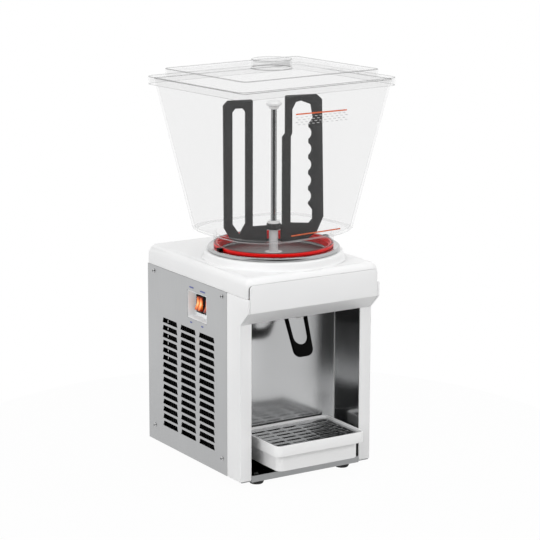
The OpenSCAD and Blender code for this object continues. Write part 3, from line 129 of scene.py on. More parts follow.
# %% [markdown]
# Every finish is a small tree of shader nodes around one Principled shader. Noise on Object
# coordinates stays fixed to the piece, so the grain has a true size in metres. It could be
# painted on a UV map instead, but CAD solids have none. A grain is a size, a detail and a stretch.

# %% Helpers for finishes
def grey(level):
    return (level, level, level)


def new_finish(name, **values):
    """A material around one Principled shader, with _ for a space in an input's name."""
    material = bpy.data.materials.new(name)
    material.use_nodes = True
    tree = material.node_tree
    tree.nodes.clear()
    inputs = {label.replace("_", " "): value for label, value in values.items()}
    shader = step(tree, "ShaderNodeBsdfPrincipled", inputs)
    step(tree, "ShaderNodeOutputMaterial", {"Surface": shader.outputs["BSDF"]})
    return material, tree, shader


def here(tree):
    return step(tree, "ShaderNodeTexCoord").outputs["Object"]


def along(tree, axis):
    return step(tree, "ShaderNodeSeparateXYZ", {0: here(tree)}).outputs[axis]


def within(tree, vector, middle, size=(1, 1, 1)):
    """A vector measured from middle, in units of size."""
    links = {"Vector": vector, "Location": middle, "Scale": size}
    return step(tree, "ShaderNodeMapping", links, vector_type="TEXTURE").outputs["Vector"]


def length_of(tree, vector):
    return step(tree, "ShaderNodeVectorMath", {0: vector}, operation="LENGTH").outputs["Value"]


def grain(tree, size, detail=3.0, stretch=(1, 1, 1)):
    """Noise whose marks are about size metres across, longer along an axis with a large stretch."""
    scale = [1 / (size * s) for s in stretch]
    place = step(tree, "ShaderNodeMapping", {"Vector": here(tree), "Scale": scale}).outputs["Vector"]
    links = {"Vector": place, "Scale": 1.0, "Detail": detail}
    return step(tree, "ShaderNodeTexNoise", links).outputs["Fac"]


def spread(tree, source, low, high, floor=0.3, top=0.7):
    """Maps a value from floor to top, by default the middle of a noise, onto low to high."""
    links = {"Value": source, "From Min": floor, "From Max": top, "To Min": low, "To Max": high}
    return step(tree, "ShaderNodeMapRange", links).outputs["Result"]


def tint(tree, source, *stops):
    """Turns a value into a colour through (place, colour) stops."""
    node = step(tree, "ShaderNodeValToRGB", {"Fac": source})
    ramp = node.color_ramp
    while len(ramp.elements) < len(stops):
        ramp.elements.new(0.5)
    for element, (place, colour) in zip(ramp.elements, stops):
        element.position = place
        element.color = (*colour, 1)
    return node.outputs["Color"]


def relief(tree, shader, source, depth, strength):
    """Bumps the surface by depth metres."""
    bump = step(tree, "ShaderNodeBump", {"Height": source, "Distance": depth, "Strength": strength})
    feed(shader, Normal=bump.outputs["Normal"])


def mottled(name, tone, dark, pale, gloss=None, bump=None, texture=None, stops=(0.3, 0.7), **values):
    """A noise sets the tone from dark to pale, and it or a second one the gloss and the relief.

    tone and texture are grains, gloss is a roughness range, and bump is a depth and a strength.
    """
    material, tree, shader = new_finish(name, **values)
    drift = grain(tree, *tone)
    marks = grain(tree, *texture) if texture else drift
    feed(shader, Base_Color=tint(tree, drift, (stops[0], dark), (stops[1], pale)))
    if gloss:
        feed(shader, Roughness=spread(tree, marks, *gloss))
    if bump:
        relief(tree, shader, marks, *bump)
    return material


def shader_of(material):
    return next(n for n in material.node_tree.nodes if n.type == "BSDF_PRINCIPLED")


def paint_over(material, tone, cover):
    """Lays a grey tone over a finish: all of it where cover is 1, and none where it is 0."""
    shader = shader_of(material)
    under = shader.inputs["Base Color"].links[0].from_socket
    links = {"Factor": cover, "A": under, "B": (*grey(tone), 1)}
    blend = step(material.node_tree, "ShaderNodeMix", links, data_type="RGBA")
    feed(shader, Base_Color=blend.outputs["Result"])


def show(tree, share, first, second):
    """Ends a tree in two shaders: the first where share is 0, the second where it is 1."""
    blend = step(tree, "ShaderNodeMixShader", {"Fac": share, 1: first, 2: second})
    out = next(n for n in tree.nodes if n.type in ("OUTPUT_MATERIAL", "OUTPUT_WORLD"))
    feed(out, Surface=blend.outputs["Shader"])


print("finish helpers ready")

# %% [markdown]
# White mouldings: the top cover, pillars, fascia and tray are glossy white ABS. A moulded face
# is never quite flat: it has a fine orange-peel texture of about a millimetre, and its tone
# drifts a little over a hand's width. Both come from noise rather than from geometry.

# %% White moulded plastic
PLASTIC_IOR, TONE_DRIFT = 1.5, 0.12
PEEL_SIZE, PEEL_GLOSS, PEEL_BUMP = 0.0012, (0.27, 0.36), (0.00003, 0.35)


def white_plastic(name, dull, pale):
    return mottled(name, (TONE_DRIFT, 1.0), dull, pale, PEEL_GLOSS, PEEL_BUMP, (PEEL_SIZE,),
                   IOR=PLASTIC_IOR)


white_moulding = white_plastic("white_moulding", (0.815, 0.817, 0.82), (0.84, 0.84, 0.84))
# The recess is the same white moulding set paler and cooler: painted light against the shade inside the
# recess and the red glow of the lit rocker.
recess_white_painted_light = white_plastic("recess_white_painted_light", (0.915, 0.94, 0.95), (0.93, 0.955, 0.96))
print("made two white plastics")

# %% [markdown]
# The drip tray is the same white moulding. Under the grille its inside lies in shade and reads as
# dark through the slots, so its own finish carries painted shade: it darkens what lies inside the
# tray's walls. The Object coordinates are folded about the tray's middle, and the distance past a
# core box, which is rounded at the corners as the tray is, tells inside from outside.

# %% Drip tray
TRAY_INSET, TRAY_CORNER, TRAY_WALL = 0.008, 0.012, 0.003
TRAY_DARK_LOW, TRAY_DARK_HIGH = 0.0347, 0.0650
FLAT_ENDS = 10


def past_walls(tree, node, inset, corner, wall, bottom, top):
    """A value below 1 inside the walls of a node with round corners, between two heights."""
    low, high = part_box(node)
    middle, rise = (low + high) / 2, (top - bottom) / 2
    round_off = corner - wall / 2
    size = (round_off, round_off, round_off / FLAT_ENDS)
    core = [(high[k] - low[k]) / 2 - inset - corner for k in (0, 1)] + [rise - size[2]]
    edge = [c / s for c, s in zip(core, size)]
    past = within(tree, here(tree), (middle.x, middle.y, bottom + rise), size)
    for kind, links in (("ABSOLUTE", {}), ("SUBTRACT", {1: edge}), ("MAXIMUM", {1: (0, 0, 0)})):
        past = step(tree, "ShaderNodeVectorMath", {0: past, **links}, operation=kind).outputs["Vector"]
    return length_of(tree, past)


tray_moulding_painted_shade, tree, shader = new_finish("tray_moulding_painted_shade", IOR=PLASTIC_IOR)
past = past_walls(tree, "drip_tray", TRAY_INSET, TRAY_CORNER, TRAY_WALL,
                  TRAY_DARK_LOW, TRAY_DARK_HIGH)
peel = grain(tree, PEEL_SIZE)
# Painted shade: near black inside the tray's walls, white moulding outside.
feed(shader, Base_Color=tint(tree, past, (0.985, grey(0.06)), (1.0, grey(0.83))),
     Roughness=spread(tree, peel, *PEEL_GLOSS))
relief(tree, shader, peel, *PEEL_BUMP)
print("made", tray_moulding_painted_shade.name)

# %% [markdown]
# Satin stainless sheet: the side panels, the base pan and the bay's liner are ground with a belt,
# which leaves long fine scratches one way. Noise stretched along Z gives the scratches, and a
# broad noise gives the cloudy tone of handled steel. Anisotropy would be another way, but it
# needs tangents that these solids don't carry. The base pan is the same steel set darker, which is
# painted shade. The liner's thin sheet bows, which bends its reflections, and a pale band at each
# fold is a painted highlight. The grille's underside is darkened with painted shade.

# %% Satin steel
SHEET = 0.0012
CLOUD, SCRATCH, SCRATCH_BUMP = 0.09, 0.0006, (0.000012, 0.3)
LINER_BOW = 50.0
BEND_HIGHLIGHT_WIDTH, BEND_HIGHLIGHT_TONE, BEND_HIGHLIGHT_METAL = 0.0014, 0.80, 0.2
GRILLE_CORNER, GRILLE_SHADE_TONE = 0.0085, 0.03


def satin_steel(name, colour, low, high, stretch=(1, 1, 60)):
    pale = tuple(min(1, c * 1.05) for c in colour)
    return mottled(name, (CLOUD, 2.0), colour, pale, (low, high), SCRATCH_BUMP,
                   (SCRATCH, 4.0, stretch), Metallic=1.0)


def bowed(material, bow):
    """Bows a sheet's reflections near its ends, as if it came forward by bow times x to the fourth."""
    tree = material.node_tree
    scratches = next(n for n in tree.nodes if n.type == "BUMP")
    x = along(tree, "X")
    square = reckon(tree, "MULTIPLY", x, x)
    height = reckon(tree, "MULTIPLY", square, square)
    bump = step(tree, "ShaderNodeBump", {"Height": height, "Distance": bow, "Strength": 1.0})
    feed(scratches, Normal=bump.outputs["Normal"])
    return material


def paint_shade_inside(material, node, corner, sheet, tone):
    """Paints shade on the underside of a pressing, as a dark tone below its top face."""
    low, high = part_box(node)
    tree = material.node_tree
    past = past_walls(tree, node, 0.0, corner, sheet, low.z - sheet, high.z - 0.75 * sheet)
    paint_over(material, tone, spread(tree, past, 1.0, 0.0, 0.98, 1.0))


def paint_bend_highlight(material, node, sheet, width):
    """Paints a highlight on the bend where the back of a folded sheet meets its sides: a pale band with
    less metal.
    """
    tree = material.node_tree
    across = reckon(tree, "ABSOLUTE", along(tree, "X"))
    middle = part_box(node)[1].x - sheet - width / 2
    bend_highlight = reckon(tree, "COMPARE", across, middle, width / 2)
    paint_over(material, BEND_HIGHLIGHT_TONE, bend_highlight)
    feed(shader_of(material), Metallic=spread(tree, bend_highlight, 1.0, BEND_HIGHLIGHT_METAL, 0.0, 1.0))


side_steel = satin_steel("side_steel", (0.49, 0.495, 0.50), 0.36, 0.48)
# The base pan is the same satin steel set darker: painted shade.
pan_steel_painted_shade = satin_steel("pan_steel_painted_shade", (0.36, 0.365, 0.37), 0.36, 0.48)
liner_steel = bowed(satin_steel("liner_steel", (0.50, 0.505, 0.51), 0.12, 0.18), LINER_BOW)
# The pale band at each of the liner's folds is a painted highlight.
paint_bend_highlight(liner_steel, "bay_liner", SHEET, BEND_HIGHLIGHT_WIDTH)
grille_steel = satin_steel("grille_steel", (0.50, 0.505, 0.51), 0.16, 0.24, (40, 1, 1))
# The grille's underside is painted shade.
paint_shade_inside(grille_steel, "tray_grille", GRILLE_CORNER, SHEET, GRILLE_SHADE_TONE)
print("made four satin steels")

# %% [markdown]
# Bright stainless: the agitator's rod and the screws are polished, with a trace of fine haze. The
# cold dish is three finishes in one piece: a polished ring outside, a dull dark well, and a pale
# sleeve over the post in the middle. Ramps on the distance from the bowl's axis give each its tone.

# %% Bright steel
NECK_Y = -0.0275
HAZE, DISH_GRAIN_DEPTH, DISH_FADE = 0.004, 0.00001, 0.003


def cool(level):
    return (level, level * 1.005, level * 1.01)


def bright_finish(name, level, low, high):
    material, tree, shader = new_finish(name, Metallic=1.0, Base_Color=(*cool(level), 1))
    feed(shader, Roughness=spread(tree, grain(tree, HAZE), low, high))
    return material


def dish_finish(name, post, well, ring):
    """Each of post, well and ring is (reach in metres, tone, roughness)."""
    material, tree, shader = new_finish(name, Metallic=1.0)
    size = 1 / ring[0]
    links = {"Vector": here(tree), "Location": (0, -NECK_Y * size, 0), "Scale": (size, size, 0)}
    off = length_of(tree, step(tree, "ShaderNodeMapping", links).outputs["Vector"])
    sleeve_end = post[0] + DISH_FADE
    bands = [(post[0], post), (sleeve_end, well), (well[0], well), (well[0] + DISH_FADE, ring)]
    feed(shader,
         Base_Color=tint(tree, off, *((at * size, cool(band[1])) for at, band in bands)),
         Roughness=tint(tree, off, *((at * size, grey(band[2])) for at, band in bands)),
         Metallic=spread(tree, off, 0.0, 1.0, post[0] * size, sleeve_end * size))
    relief(tree, shader, grain(tree, HAZE), DISH_GRAIN_DEPTH, 0.2)
    return material


bright_steel = bright_finish("bright_steel", 0.66, 0.06, 0.13)
# The rod is the same polished steel set darker: painted shade.
rod_steel_painted_shade = bright_finish("rod_steel_painted_shade", 0.36, 0.12, 0.16)
screw_steel = bright_finish("screw_steel", 0.58, 0.08, 0.14)
dish_steel = dish_finish("dish_steel", post=(0.013, 0.62, 0.5), well=(0.091, 0.10, 0.35),
                         ring=(0.113, 0.46, 0.08))
print("made four bright steels")

# %% [markdown]
# Black and dark plastics: the lever is glossy black, the switch bezels and rails are finely
# textured, and the agitator is a dark grey food-safe plastic with a soft sheen. One function
# makes the family from a table of tones, gloss, and the texture's size, depth and shine.

# %% Dark plastics
def textured_plastic(name, dark, pale, low, high, size, depth, shine=0.5):
    return mottled(name, (TONE_DRIFT / 2, 1.0), dark, pale, (low, high), (depth, 0.4), (size,),
                   IOR=PLASTIC_IOR, Specular_IOR_Level=shine)


plastics = {name: textured_plastic(name, *values) for name, *values in (
    ("gloss_black", grey(0.0010), grey(0.0016), 0.3, 0.4, 0.0015, 0.00002, 0.05),
    ("matt_black", grey(0.004), grey(0.007), 0.42, 0.55, 0.0006, 0.00004, 0.12),
    ("dark_plastic", grey(0.030), grey(0.040), 0.36, 0.46, 0.0009, 0.00003, 0.25),
    ("black_rubber", grey(0.006), grey(0.012), 0.6, 0.8, 0.0008, 0.00006),
    ("black_paint", grey(0.004), grey(0.008), 0.4, 0.5, 0.002, 0.00004, 0.15),
    ("red_silicone", (0.66, 0.0, 0.0), (0.74, 0.004, 0.003), 0.25, 0.36, 0.0015, 0.00002, 0.3),
    ("white_silicone", (0.74, 0.74, 0.72), (0.80, 0.80, 0.78), 0.4, 0.5, 0.001, 0.00002))}
print("made", *plastics)

# %% [markdown]
# Zinc plate, copper, cast metal and foam are mostly inside the cabinet, behind the vents and under
# the base. Zinc has a fine spangle, copper has darker stains, a casting is rough, and foam has
# cells, so one noise each sets tone, gloss and relief. The back panel is zinc outside, and near
# black inside where the vents look onto it, which is painted shade for the dark inside of the cabinet.

# %% Inner metals and foam
INSIDE_SHADE_TONE, INSIDE_SHADE_FROM, INSIDE_SHADE_TO = 0.012, 0.0003, 0.0006
zinc_plate, back_zinc = (
    mottled(name, (0.006, 1.0), (0.42, 0.425, 0.43), (0.46, 0.465, 0.47), (0.45, 0.6),
            stops=(0.35, 0.65), Metallic=1.0) for name in ("zinc_plate", "back_zinc"))
outer_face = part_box("back_panel")[1].y
tree = back_zinc.node_tree
# Painted shade: the back panel's inside face is near black.
inside_shade = spread(tree, along(tree, "Y"), 1.0, 0.0, outer_face - INSIDE_SHADE_TO, outer_face - INSIDE_SHADE_FROM)
paint_over(back_zinc, INSIDE_SHADE_TONE, inside_shade)
copper_tube = mottled("copper_tube", (0.012,), (0.26, 0.12, 0.07), (0.46, 0.22, 0.13), (0.42, 0.22),
                      stops=(0.3, 0.6), Metallic=1.0)
cast_grey = mottled("cast_grey", (0.0015,), grey(0.26), grey(0.36), (0.45, 0.65), (0.0002, 0.5),
                    Metallic=0.6)
pale_foam = mottled("pale_foam", (0.002, 5.0), (0.62, 0.56, 0.40), (0.80, 0.74, 0.58),
                    bump=(0.0006, 0.7), Roughness=0.9)
print("made zinc, copper, cast grey and foam")

# %% [markdown]
# Clear polycarbonate: the bowl and lid are thin even walls, and a thin wall shows what is behind
# it without bending it. A glass shader would bend it and draw dark outlines, so the wall is mostly
# a Transparent shader with a trace of grey. Seen at a slant, more of a glossy shader takes its
# place. Edges have a finish of their own that lets less light through: painted shade for the dark
# lines at a bent sheet's edge. The wide bend where the bowl turns under has one too, with more of
# the pale glossy shader: a painted highlight as a pale band.

# %% Clear plastic
WIPE_MARKS, SLANT_FROM = 0.03, 0.74


def clear_sheet(name, through, least, most):
    """How much light goes through, and the glossy share face on (least) and edge on (most)."""
    material, tree, shader = new_finish(name, Base_Color=(0.86, 0.865, 0.87, 1), IOR=1.49)
    feed(shader, Roughness=spread(tree, grain(tree, WIPE_MARKS), 0.03, 0.09))
    passing = step(tree, "ShaderNodeBsdfTransparent", {"Color": (*grey(through), 1)})
    slant = step(tree, "ShaderNodeLayerWeight", {"Blend": 0.5}).outputs["Facing"]
    share = spread(tree, slant, least, most, SLANT_FROM, 1.0)
    show(tree, share, passing.outputs["BSDF"], shader.outputs["BSDF"])
    return material


clear_plastic = clear_sheet("clear_plastic", 0.972, 0.02, 0.35)
clear_edge_painted_shade = clear_sheet("clear_edge_painted_shade", 0.55, 0.04, 0.30)
clear_bend_painted_highlight = clear_sheet("clear_bend_painted_highlight", 0.93, 0.30, 0.46)
print("made three clear finishes")

# %% [markdown]
# The rear rocker is lit from inside: two small lamps shine through the translucent cap as yellow
# streaks side by side, which fall off through orange to deep red at the edge. The distance from
# the streaks sets the cap's glow, and also its base colour, which is painted light: paler orange
# at the streaks, darker red towards the edge. The front rocker has the same cap with its lamps
# off, so its paler streaks are painted light alone.

# %% Rocker caps
CAP_COLOUR_AND_PAINTED_GLOW = ((0.1, (0.70, 0.26, 0.05)), (0.5, (0.50, 0.06, 0.015)), (0.95, (0.06, 0.002, 0.002)))
CAP_LIGHT = ((0.15, (1.0, 0.80, 0.36)), (0.6, (1.0, 0.26, 0.03)), (1.0, (0.25, 0.005, 0.0)))
STREAK_OFF, STREAK_WIDE, STREAK_TALL = 0.45, 0.62, 1.05


def rocker_cap(name, node, glow):
    material, tree, shader = new_finish(name, Roughness=0.25, IOR=PLASTIC_IOR,
                                        Emission_Strength=glow)
    low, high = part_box(node)
    half = (high - low) / 2
    inward = within(tree, here(tree), (low + high) / 2)
    folded = step(tree, "ShaderNodeVectorMath", {0: inward}, operation="ABSOLUTE").outputs["Vector"]
    streak = within(tree, folded, (0, STREAK_OFF * half.y, 0),
                    (1, STREAK_WIDE * half.y, STREAK_TALL * half.z))
    fall = length_of(tree, streak)
    # Painted light: the base colour is paler where the lamps shine through.
    feed(shader, Base_Color=tint(tree, fall, *CAP_COLOUR_AND_PAINTED_GLOW))
    if glow:
        feed(shader, Emission_Color=tint(tree, fall, *CAP_LIGHT))
    return material


lit_cap = rocker_cap("lit_cap", "mixing_rocker", 0.62)
dark_cap = rocker_cap("dark_cap", "cooling_rocker", 0.0)
print("made", lit_cap.name, dark_cap.name)

# %% [markdown]
# Each CAD node takes the finish of its slot in the record, and a few take one of their own. The
# node's mesh stays as it is: only its material slots change.

# %% Finishes for the nodes
finish_of_slot = plastics | {
    "stainless_satin": side_steel, "stainless_bright": bright_steel, "clear_plastic": clear_plastic,
    "white_moulding": white_moulding, "white_paint": white_moulding, "amber_lens": dark_cap,
    "black_plastic": plastics["matt_black"], "black_steel": plastics["black_paint"],
    "silicone": plastics["white_silicone"], "zinc_steel": zinc_plate, "copper": copper_tube,
    "foam": pale_foam, "grey_cast": cast_grey,
}
finish_of_node = {
    "base_pan": pan_steel_painted_shade, "bay_liner": liner_steel, "tray_grille": grille_steel,
    "push_lever": plastics["gloss_black"], "bowl_clips": plastics["gloss_black"],
    "mixing_rocker": lit_cap, "agitator_rod": rod_steel_painted_shade, "cooling_dish": dish_steel,
    "drip_tray": tray_moulding_painted_shade, "switch_recess": recess_white_painted_light, "back_panel": back_zinc,
    "panel_screws": screw_steel,
}


def finish_for(node):
    return finish_of_node.get(node, finish_of_slot[slot_of_node[node]])


for node, solid in nodes.items():
    if not solid.material_slots:
        solid.data.materials.append(finish_for(node))
    for slot in solid.material_slots:
        slot.material = finish_for(node)
print("finished", len(nodes), "nodes")

# %% [markdown]
# A moulded or pressed edge always has a small radius, and the light that runs along it is what
# makes a solid look real. The CAD solids have sharp edges, so this copies a node, merges its loose
# triangles, and rounds the edges with a Bevel modifier. The copy then stands for the node.

# %% Rounded copies of the mouldings
MERGE_WITHIN, SHARP_FROM = 2e-6, math.radians(35)


def carry(piece, body, slot, *replaced):
    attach(piece, body)
    if replaced:
        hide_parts(*replaced)


def carry_for(piece, node):
    carry(piece, body_of_node[node], slot_of_node[node], node)


def piece_of(shape, name, *finishes):
    """Turns a bmesh into a piece with its finishes."""
    mesh = bpy.data.meshes.new(name)
    shape.to_mesh(mesh)
    shape.free()
    for finish in finishes:
        mesh.materials.append(finish)
    return new_object(name, mesh)


def plain_mesh(piece, name):
    """Settles a piece's modifiers into a mesh of its own."""
    drawn = piece.evaluated_get(bpy.context.evaluated_depsgraph_get())
    mesh = bpy.data.meshes.new_from_object(drawn)
    piece.modifiers.clear()
    piece.data = mesh
    mesh.name = name
    return mesh


def smooth_faces(mesh, angle=30):
    mesh.polygons.foreach_set("use_smooth", [True] * len(mesh.polygons))
    mesh.set_sharp_from_angle(angle=math.radians(angle))
    mesh.update()


def merged_copy(node, name):
    """A copy of a node's mesh with its loose triangles joined, as a piece of its own."""
    shape = bmesh.new()
    shape.from_mesh(nodes[node].data)
    bmesh.ops.remove_doubles(shape, verts=shape.verts, dist=MERGE_WITHIN)
    return piece_of(shape, name, finish_for(node))


def round_edges(piece, width, segments=3):
    bevel = piece.modifiers.new("edge", "BEVEL")
    bevel.width = width
    bevel.segments = segments
    bevel.limit_method = "ANGLE"
    bevel.angle_limit = SHARP_FROM
    bevel.use_clamp_overlap = False
    bevel.loop_slide = False


def soften(node, width):
    """A rounded copy of a node. A vertex that the bevel throws off the solid is put back on it."""
    piece = merged_copy(node, node + "_soft")
    shape = bmesh.new()
    shape.from_mesh(piece.data)
    solid = BVHTree.FromBMesh(shape)
    shape.free()
    round_edges(piece, width)
    mesh = plain_mesh(piece, node + "_soft")
    strays = 0
    for point in mesh.vertices:
        nearest, _, _, distance = solid.find_nearest(point.co)
        if distance > width / 2:
            point.co = nearest
            strays += 1
    smooth_faces(mesh)
    print(node, "edges", width * 1000, "mm, faces", len(mesh.polygons), "put back", strays)
    carry_for(piece, node)


for node, width in (("left_pillar", 0.0012), ("right_pillar", 0.0012), ("fascia", 0.0009),
                    ("top_cover", 0.0008), ("drip_tray", 0.0009), ("push_lever", 0.0012),
                    ("switch_recess", 0.0006), ("switch_bodies", 0.0006),
                    ("mixing_rocker", 0.0007), ("cooling_rocker", 0.0007),
                    ("agitator_frame", 0.0008), ("feet", 0.0008), ("bowl_clips", 0.0008)):
    soften(node, width)

# %% [markdown]
# The bowl and the lid are lofted: rings of points, each a rounded rectangle, with a skin of quads
# from one ring to the next. A subdivided cage would be another way, but the walls have to keep
# their thickness all round, and rings hold it. The bowl stands a little turned on its neck, so
# every ring is turned with it.

# %% Rings and lofts
BOWL_Y, LID_Y = -0.0235, -0.0200
BOWL_TURN = math.radians(5.5)
CORNER_STEPS = 14
CORNERS = ((1, 1), (-1, 1), (-1, -1), (1, -1))
WALL_FACE, EDGE_FACE, BEND_FACE = 0, 1, 2


def turned(x, y, z, middle=BOWL_Y):
    """A point of the bowl's own frame, turned as the bowl stands on its neck."""
    return Vector((x * math.cos(BOWL_TURN) - y * math.sin(BOWL_TURN),
                   middle + x * math.sin(BOWL_TURN) + y * math.cos(BOWL_TURN), z))


def ring(width, depth, radius, z, middle=BOWL_Y):
    """One rounded rectangle around the bowl's axis, as a list of points."""
    points = []
    for turn, (sx, sy) in enumerate(CORNERS):
        for k in range(CORNER_STEPS + 1):
            a = math.radians(90 * turn + 90 * k / CORNER_STEPS)
            points.append(turned(sx * (width / 2 - radius) + radius * math.cos(a),
                                 sy * (depth / 2 - radius) + radius * math.sin(a), z, middle))
    return points


def set_in(size, inset):
    """A rounded rectangle's (width, depth, radius) one wall further in."""
    return size[0] - 2 * inset, size[1] - 2 * inset, size[2] - inset


def skin(shape, low, high, finish):
    """Quads between two rings of vertices."""
    for i in range(len(low)):
        k = (i + 1) % len(low)
        face = shape.faces.new((low[i], low[k], high[k], high[i]))
        face.material_index = finish


def clear_piece(name, shape, body):
    """Closes a clear piece: faces turned outwards, and walls, edges and bends in their finishes."""
    bmesh.ops.recalc_face_normals(shape, faces=shape.faces)
    print(name, "faces", len(shape.faces), "volume", round(shape.calc_volume(signed=True) * 1e6), "cm3")
    piece = piece_of(shape, name, clear_plastic, clear_edge_painted_shade, clear_bend_painted_highlight)
    smooth_faces(piece.data, 40)
    carry(piece, body, "clear_plastic", body)


print("lofting ready")

# %% [markdown]
# The bowl is one clear moulding: a tapered box with round corners that turns under into a short
# round neck. Its rings go round the outside from the neck to the rim, over the rim, and back down
# the inside, 3.5 mm further in. A curve drawn towards a pulling ring makes the wide bend.

# %% The bowl
NECK_Z, FLOOR_Z, TURN_Z, RIM_Z = 0.3881, 0.4061, 0.4141, 0.6651
WALL, LIP, NECK_R, NECK_FLAT = 0.0035, 0.0008, 0.1015, 0.0006
PULL_SIZE, TURN_SIZE, RIM_SIZE = (0.242, 0.214, 0.070), (0.241, 0.218, 0.065), (0.313, 0.257, 0.010)
NECK_EDGE, PULL_RISE, TURN_LIFT = 0.0012, 0.0013, 0.6
FLOOR_WIDER, FLOOR_DEEPER, FLOOR_BACK = 0.004, 0.003, 0.001
BEND_STEPS, SIDE_STEPS = 8, 12
BEND_ROWS = {6, 7, 8}


def bent(first, pull, last, steps):
    """Rings along a curve from first to last, drawn towards pull."""
    rows = []
    for k in range(1, steps):
        t = k / steps
        rows.append([(1 - t) ** 2 * a + 2 * t * (1 - t) * b + t * t * c
                     for a, b, c in zip(first, pull, last)])
    return rows


def bowl_side(inset):
    """The bowl's rings from the neck's end to the rim, set in from the outside by inset."""
    across, radius, floor_z = 2 * (NECK_R - inset), NECK_R - inset - NECK_FLAT, FLOOR_Z + inset
    neck = ring(across, across, radius, NECK_Z, NECK_Y)
    neck_top = ring(across, across, radius, floor_z - NECK_EDGE, NECK_Y)
    floor = ring(across + FLOOR_WIDER, across + FLOOR_DEEPER, radius, floor_z, NECK_Y + FLOOR_BACK)
    pull = ring(*set_in(PULL_SIZE, inset), floor_z + PULL_RISE)
    turn = ring(*set_in(TURN_SIZE, inset), TURN_Z + inset * TURN_LIFT)
    rim = ring(*set_in(RIM_SIZE, inset), RIM_Z)
    rows = [neck, neck_top, floor] + bent(floor, pull, turn, BEND_STEPS) + [turn]
    for k in range(1, SIDE_STEPS):
        rows.append([a.lerp(b, k / SIDE_STEPS) for a, b in zip(turn, rim)])
    return rows + [rim]


def rounded_lip(outer, inner, lift):
    """Two rings between the outer and the inner edge, raised to round a lip."""
    return [[a.lerp(b, t) + Vector((0, 0, lift)) for a, b in zip(outer, inner)] for t in (0.25, 0.75)]


outside, inside = bowl_side(0.0), bowl_side(WALL)
for end, lower in ((-1, LIP), (0, -LIP)):
    for point in outside[end] + inside[end]:
        point.z -= lower
rows = (outside + rounded_lip(outside[-1], inside[-1], LIP)
        + inside[::-1] + rounded_lip(inside[0], outside[0], -LIP))
shape = bmesh.new()
loops = [[shape.verts.new(p) for p in row] for row in rows]
rim_row, last_row = len(outside) - 1, len(rows) - 1
edge_rows = {*range(rim_row, rim_row + 3), *range(last_row - 2, last_row + 1)}
# Rows at the rim and the neck's end take the clear edge finish, which is painted shade; the rows of the
# wide bend take the clear bend finish, which is a painted highlight.
for k, low in enumerate(loops):
    finish = EDGE_FACE if k in edge_rows else BEND_FACE if k in BEND_ROWS else WALL_FACE
    skin(shape, low, loops[(k + 1) % len(loops)], finish)
clear_piece("clear_bowl", shape, "bowl")

# %% [markdown]
# The lid is a thin clear pressing: a skirt that drops round the rim, a raised step with soft
# edges, and a hollow round knob. The outside is lofted from the skirt up to the knob, and the
# inside follows it 3 mm below, so the edges show the double lines of a real pressing; the faces at
# the bends also take the clear edge finish, whose darker grey is painted shade.

# %% The lid
LID_Z, LID_T, SKIRT_Z, STEP_Z, KNOB_Z = 0.6653, 0.0030, 0.6548, 0.6818, 0.6978
SKIRT_SIZE, STEP_SIZE, KNOB_SIZE = (0.328, 0.272, 0.0175), (0.284, 0.228, 0.012), (0.068, 0.068, 0.0338)
OUTER_BENDS, INNER_BENDS, STEP_SOFTER = (0.0012, 0.0015), (0.0006, 0.0030), 0.0004
LEAST_R, KNOB_R, KNOB_FLAT, KNOB_EYE = 0.0008, 0.034, 0.0001, (0.004, 0.004, 0.0019)


def lid_side(inset):
    """The lid's rings from the skirt's edge to the middle of the knob, and which of them bend."""
    outer = inset == 0
    top, step_top, knob_top = LID_Z + LID_T - inset, STEP_Z - inset, KNOB_Z - inset
    bend, foot = OUTER_BENDS if outer else INNER_BENDS
    rows = [ring(*set_in(SKIRT_SIZE, inset), SKIRT_Z, LID_Y)]
    bends = set()

    def corner(size, z, soft, inward, seen):
        width, depth, radius = set_in(size, inset)
        for k in range(4):
            a = math.radians(30 * k)
            if seen and k < 3:
                bends.add(len(rows))
            if inward:
                shift, rise = soft * (1 - math.cos(a)), soft * math.sin(a) - soft
            else:
                shift, rise = -soft * (1 - math.sin(a)), soft * (1 - math.cos(a))
            rows.append(ring(width - 2 * shift, depth - 2 * shift, max(radius - shift, LEAST_R),
                             z + rise, LID_Y))

    corner(SKIRT_SIZE, top, bend, True, outer)
    corner(STEP_SIZE, top, foot, False, False)
    corner(STEP_SIZE, step_top, bend + STEP_SOFTER, True, outer)
    corner(KNOB_SIZE, step_top, foot, False, outer)
    corner(KNOB_SIZE, knob_top, bend, True, True)
    knob_r = KNOB_R - inset
    rows.append(ring(knob_r, knob_r, knob_r / 2 - KNOB_FLAT, knob_top, LID_Y))
    rows.append(ring(*KNOB_EYE, knob_top, LID_Y))
    return rows, bends


shape = bmesh.new()
skirt_ends = []
for inset in (0.0, LID_T):
    rows, bends = lid_side(inset)
    loops = [[shape.verts.new(p) for p in row] for row in rows]
    # Faces at the lid's bends take the clear edge finish, which is painted shade.
    for k in range(len(loops) - 1):
        skin(shape, loops[k], loops[k + 1], EDGE_FACE if k in bends else WALL_FACE)
    shape.faces.new(loops[-1])
    skirt_ends.append(loops[0])
skin(shape, skirt_ends[1], skirt_ends[0], EDGE_FACE)
clear_piece("clear_lid", shape, "lid")

# %% [markdown]
# What repeats is made by Geometry Nodes. Each tree has its sizes as named inputs, works on loose
# points or on a sheet, and ends in real geometry with its finish. These helpers build the parts
# that the trees share, run a tree, and keep the result as a plain mesh.

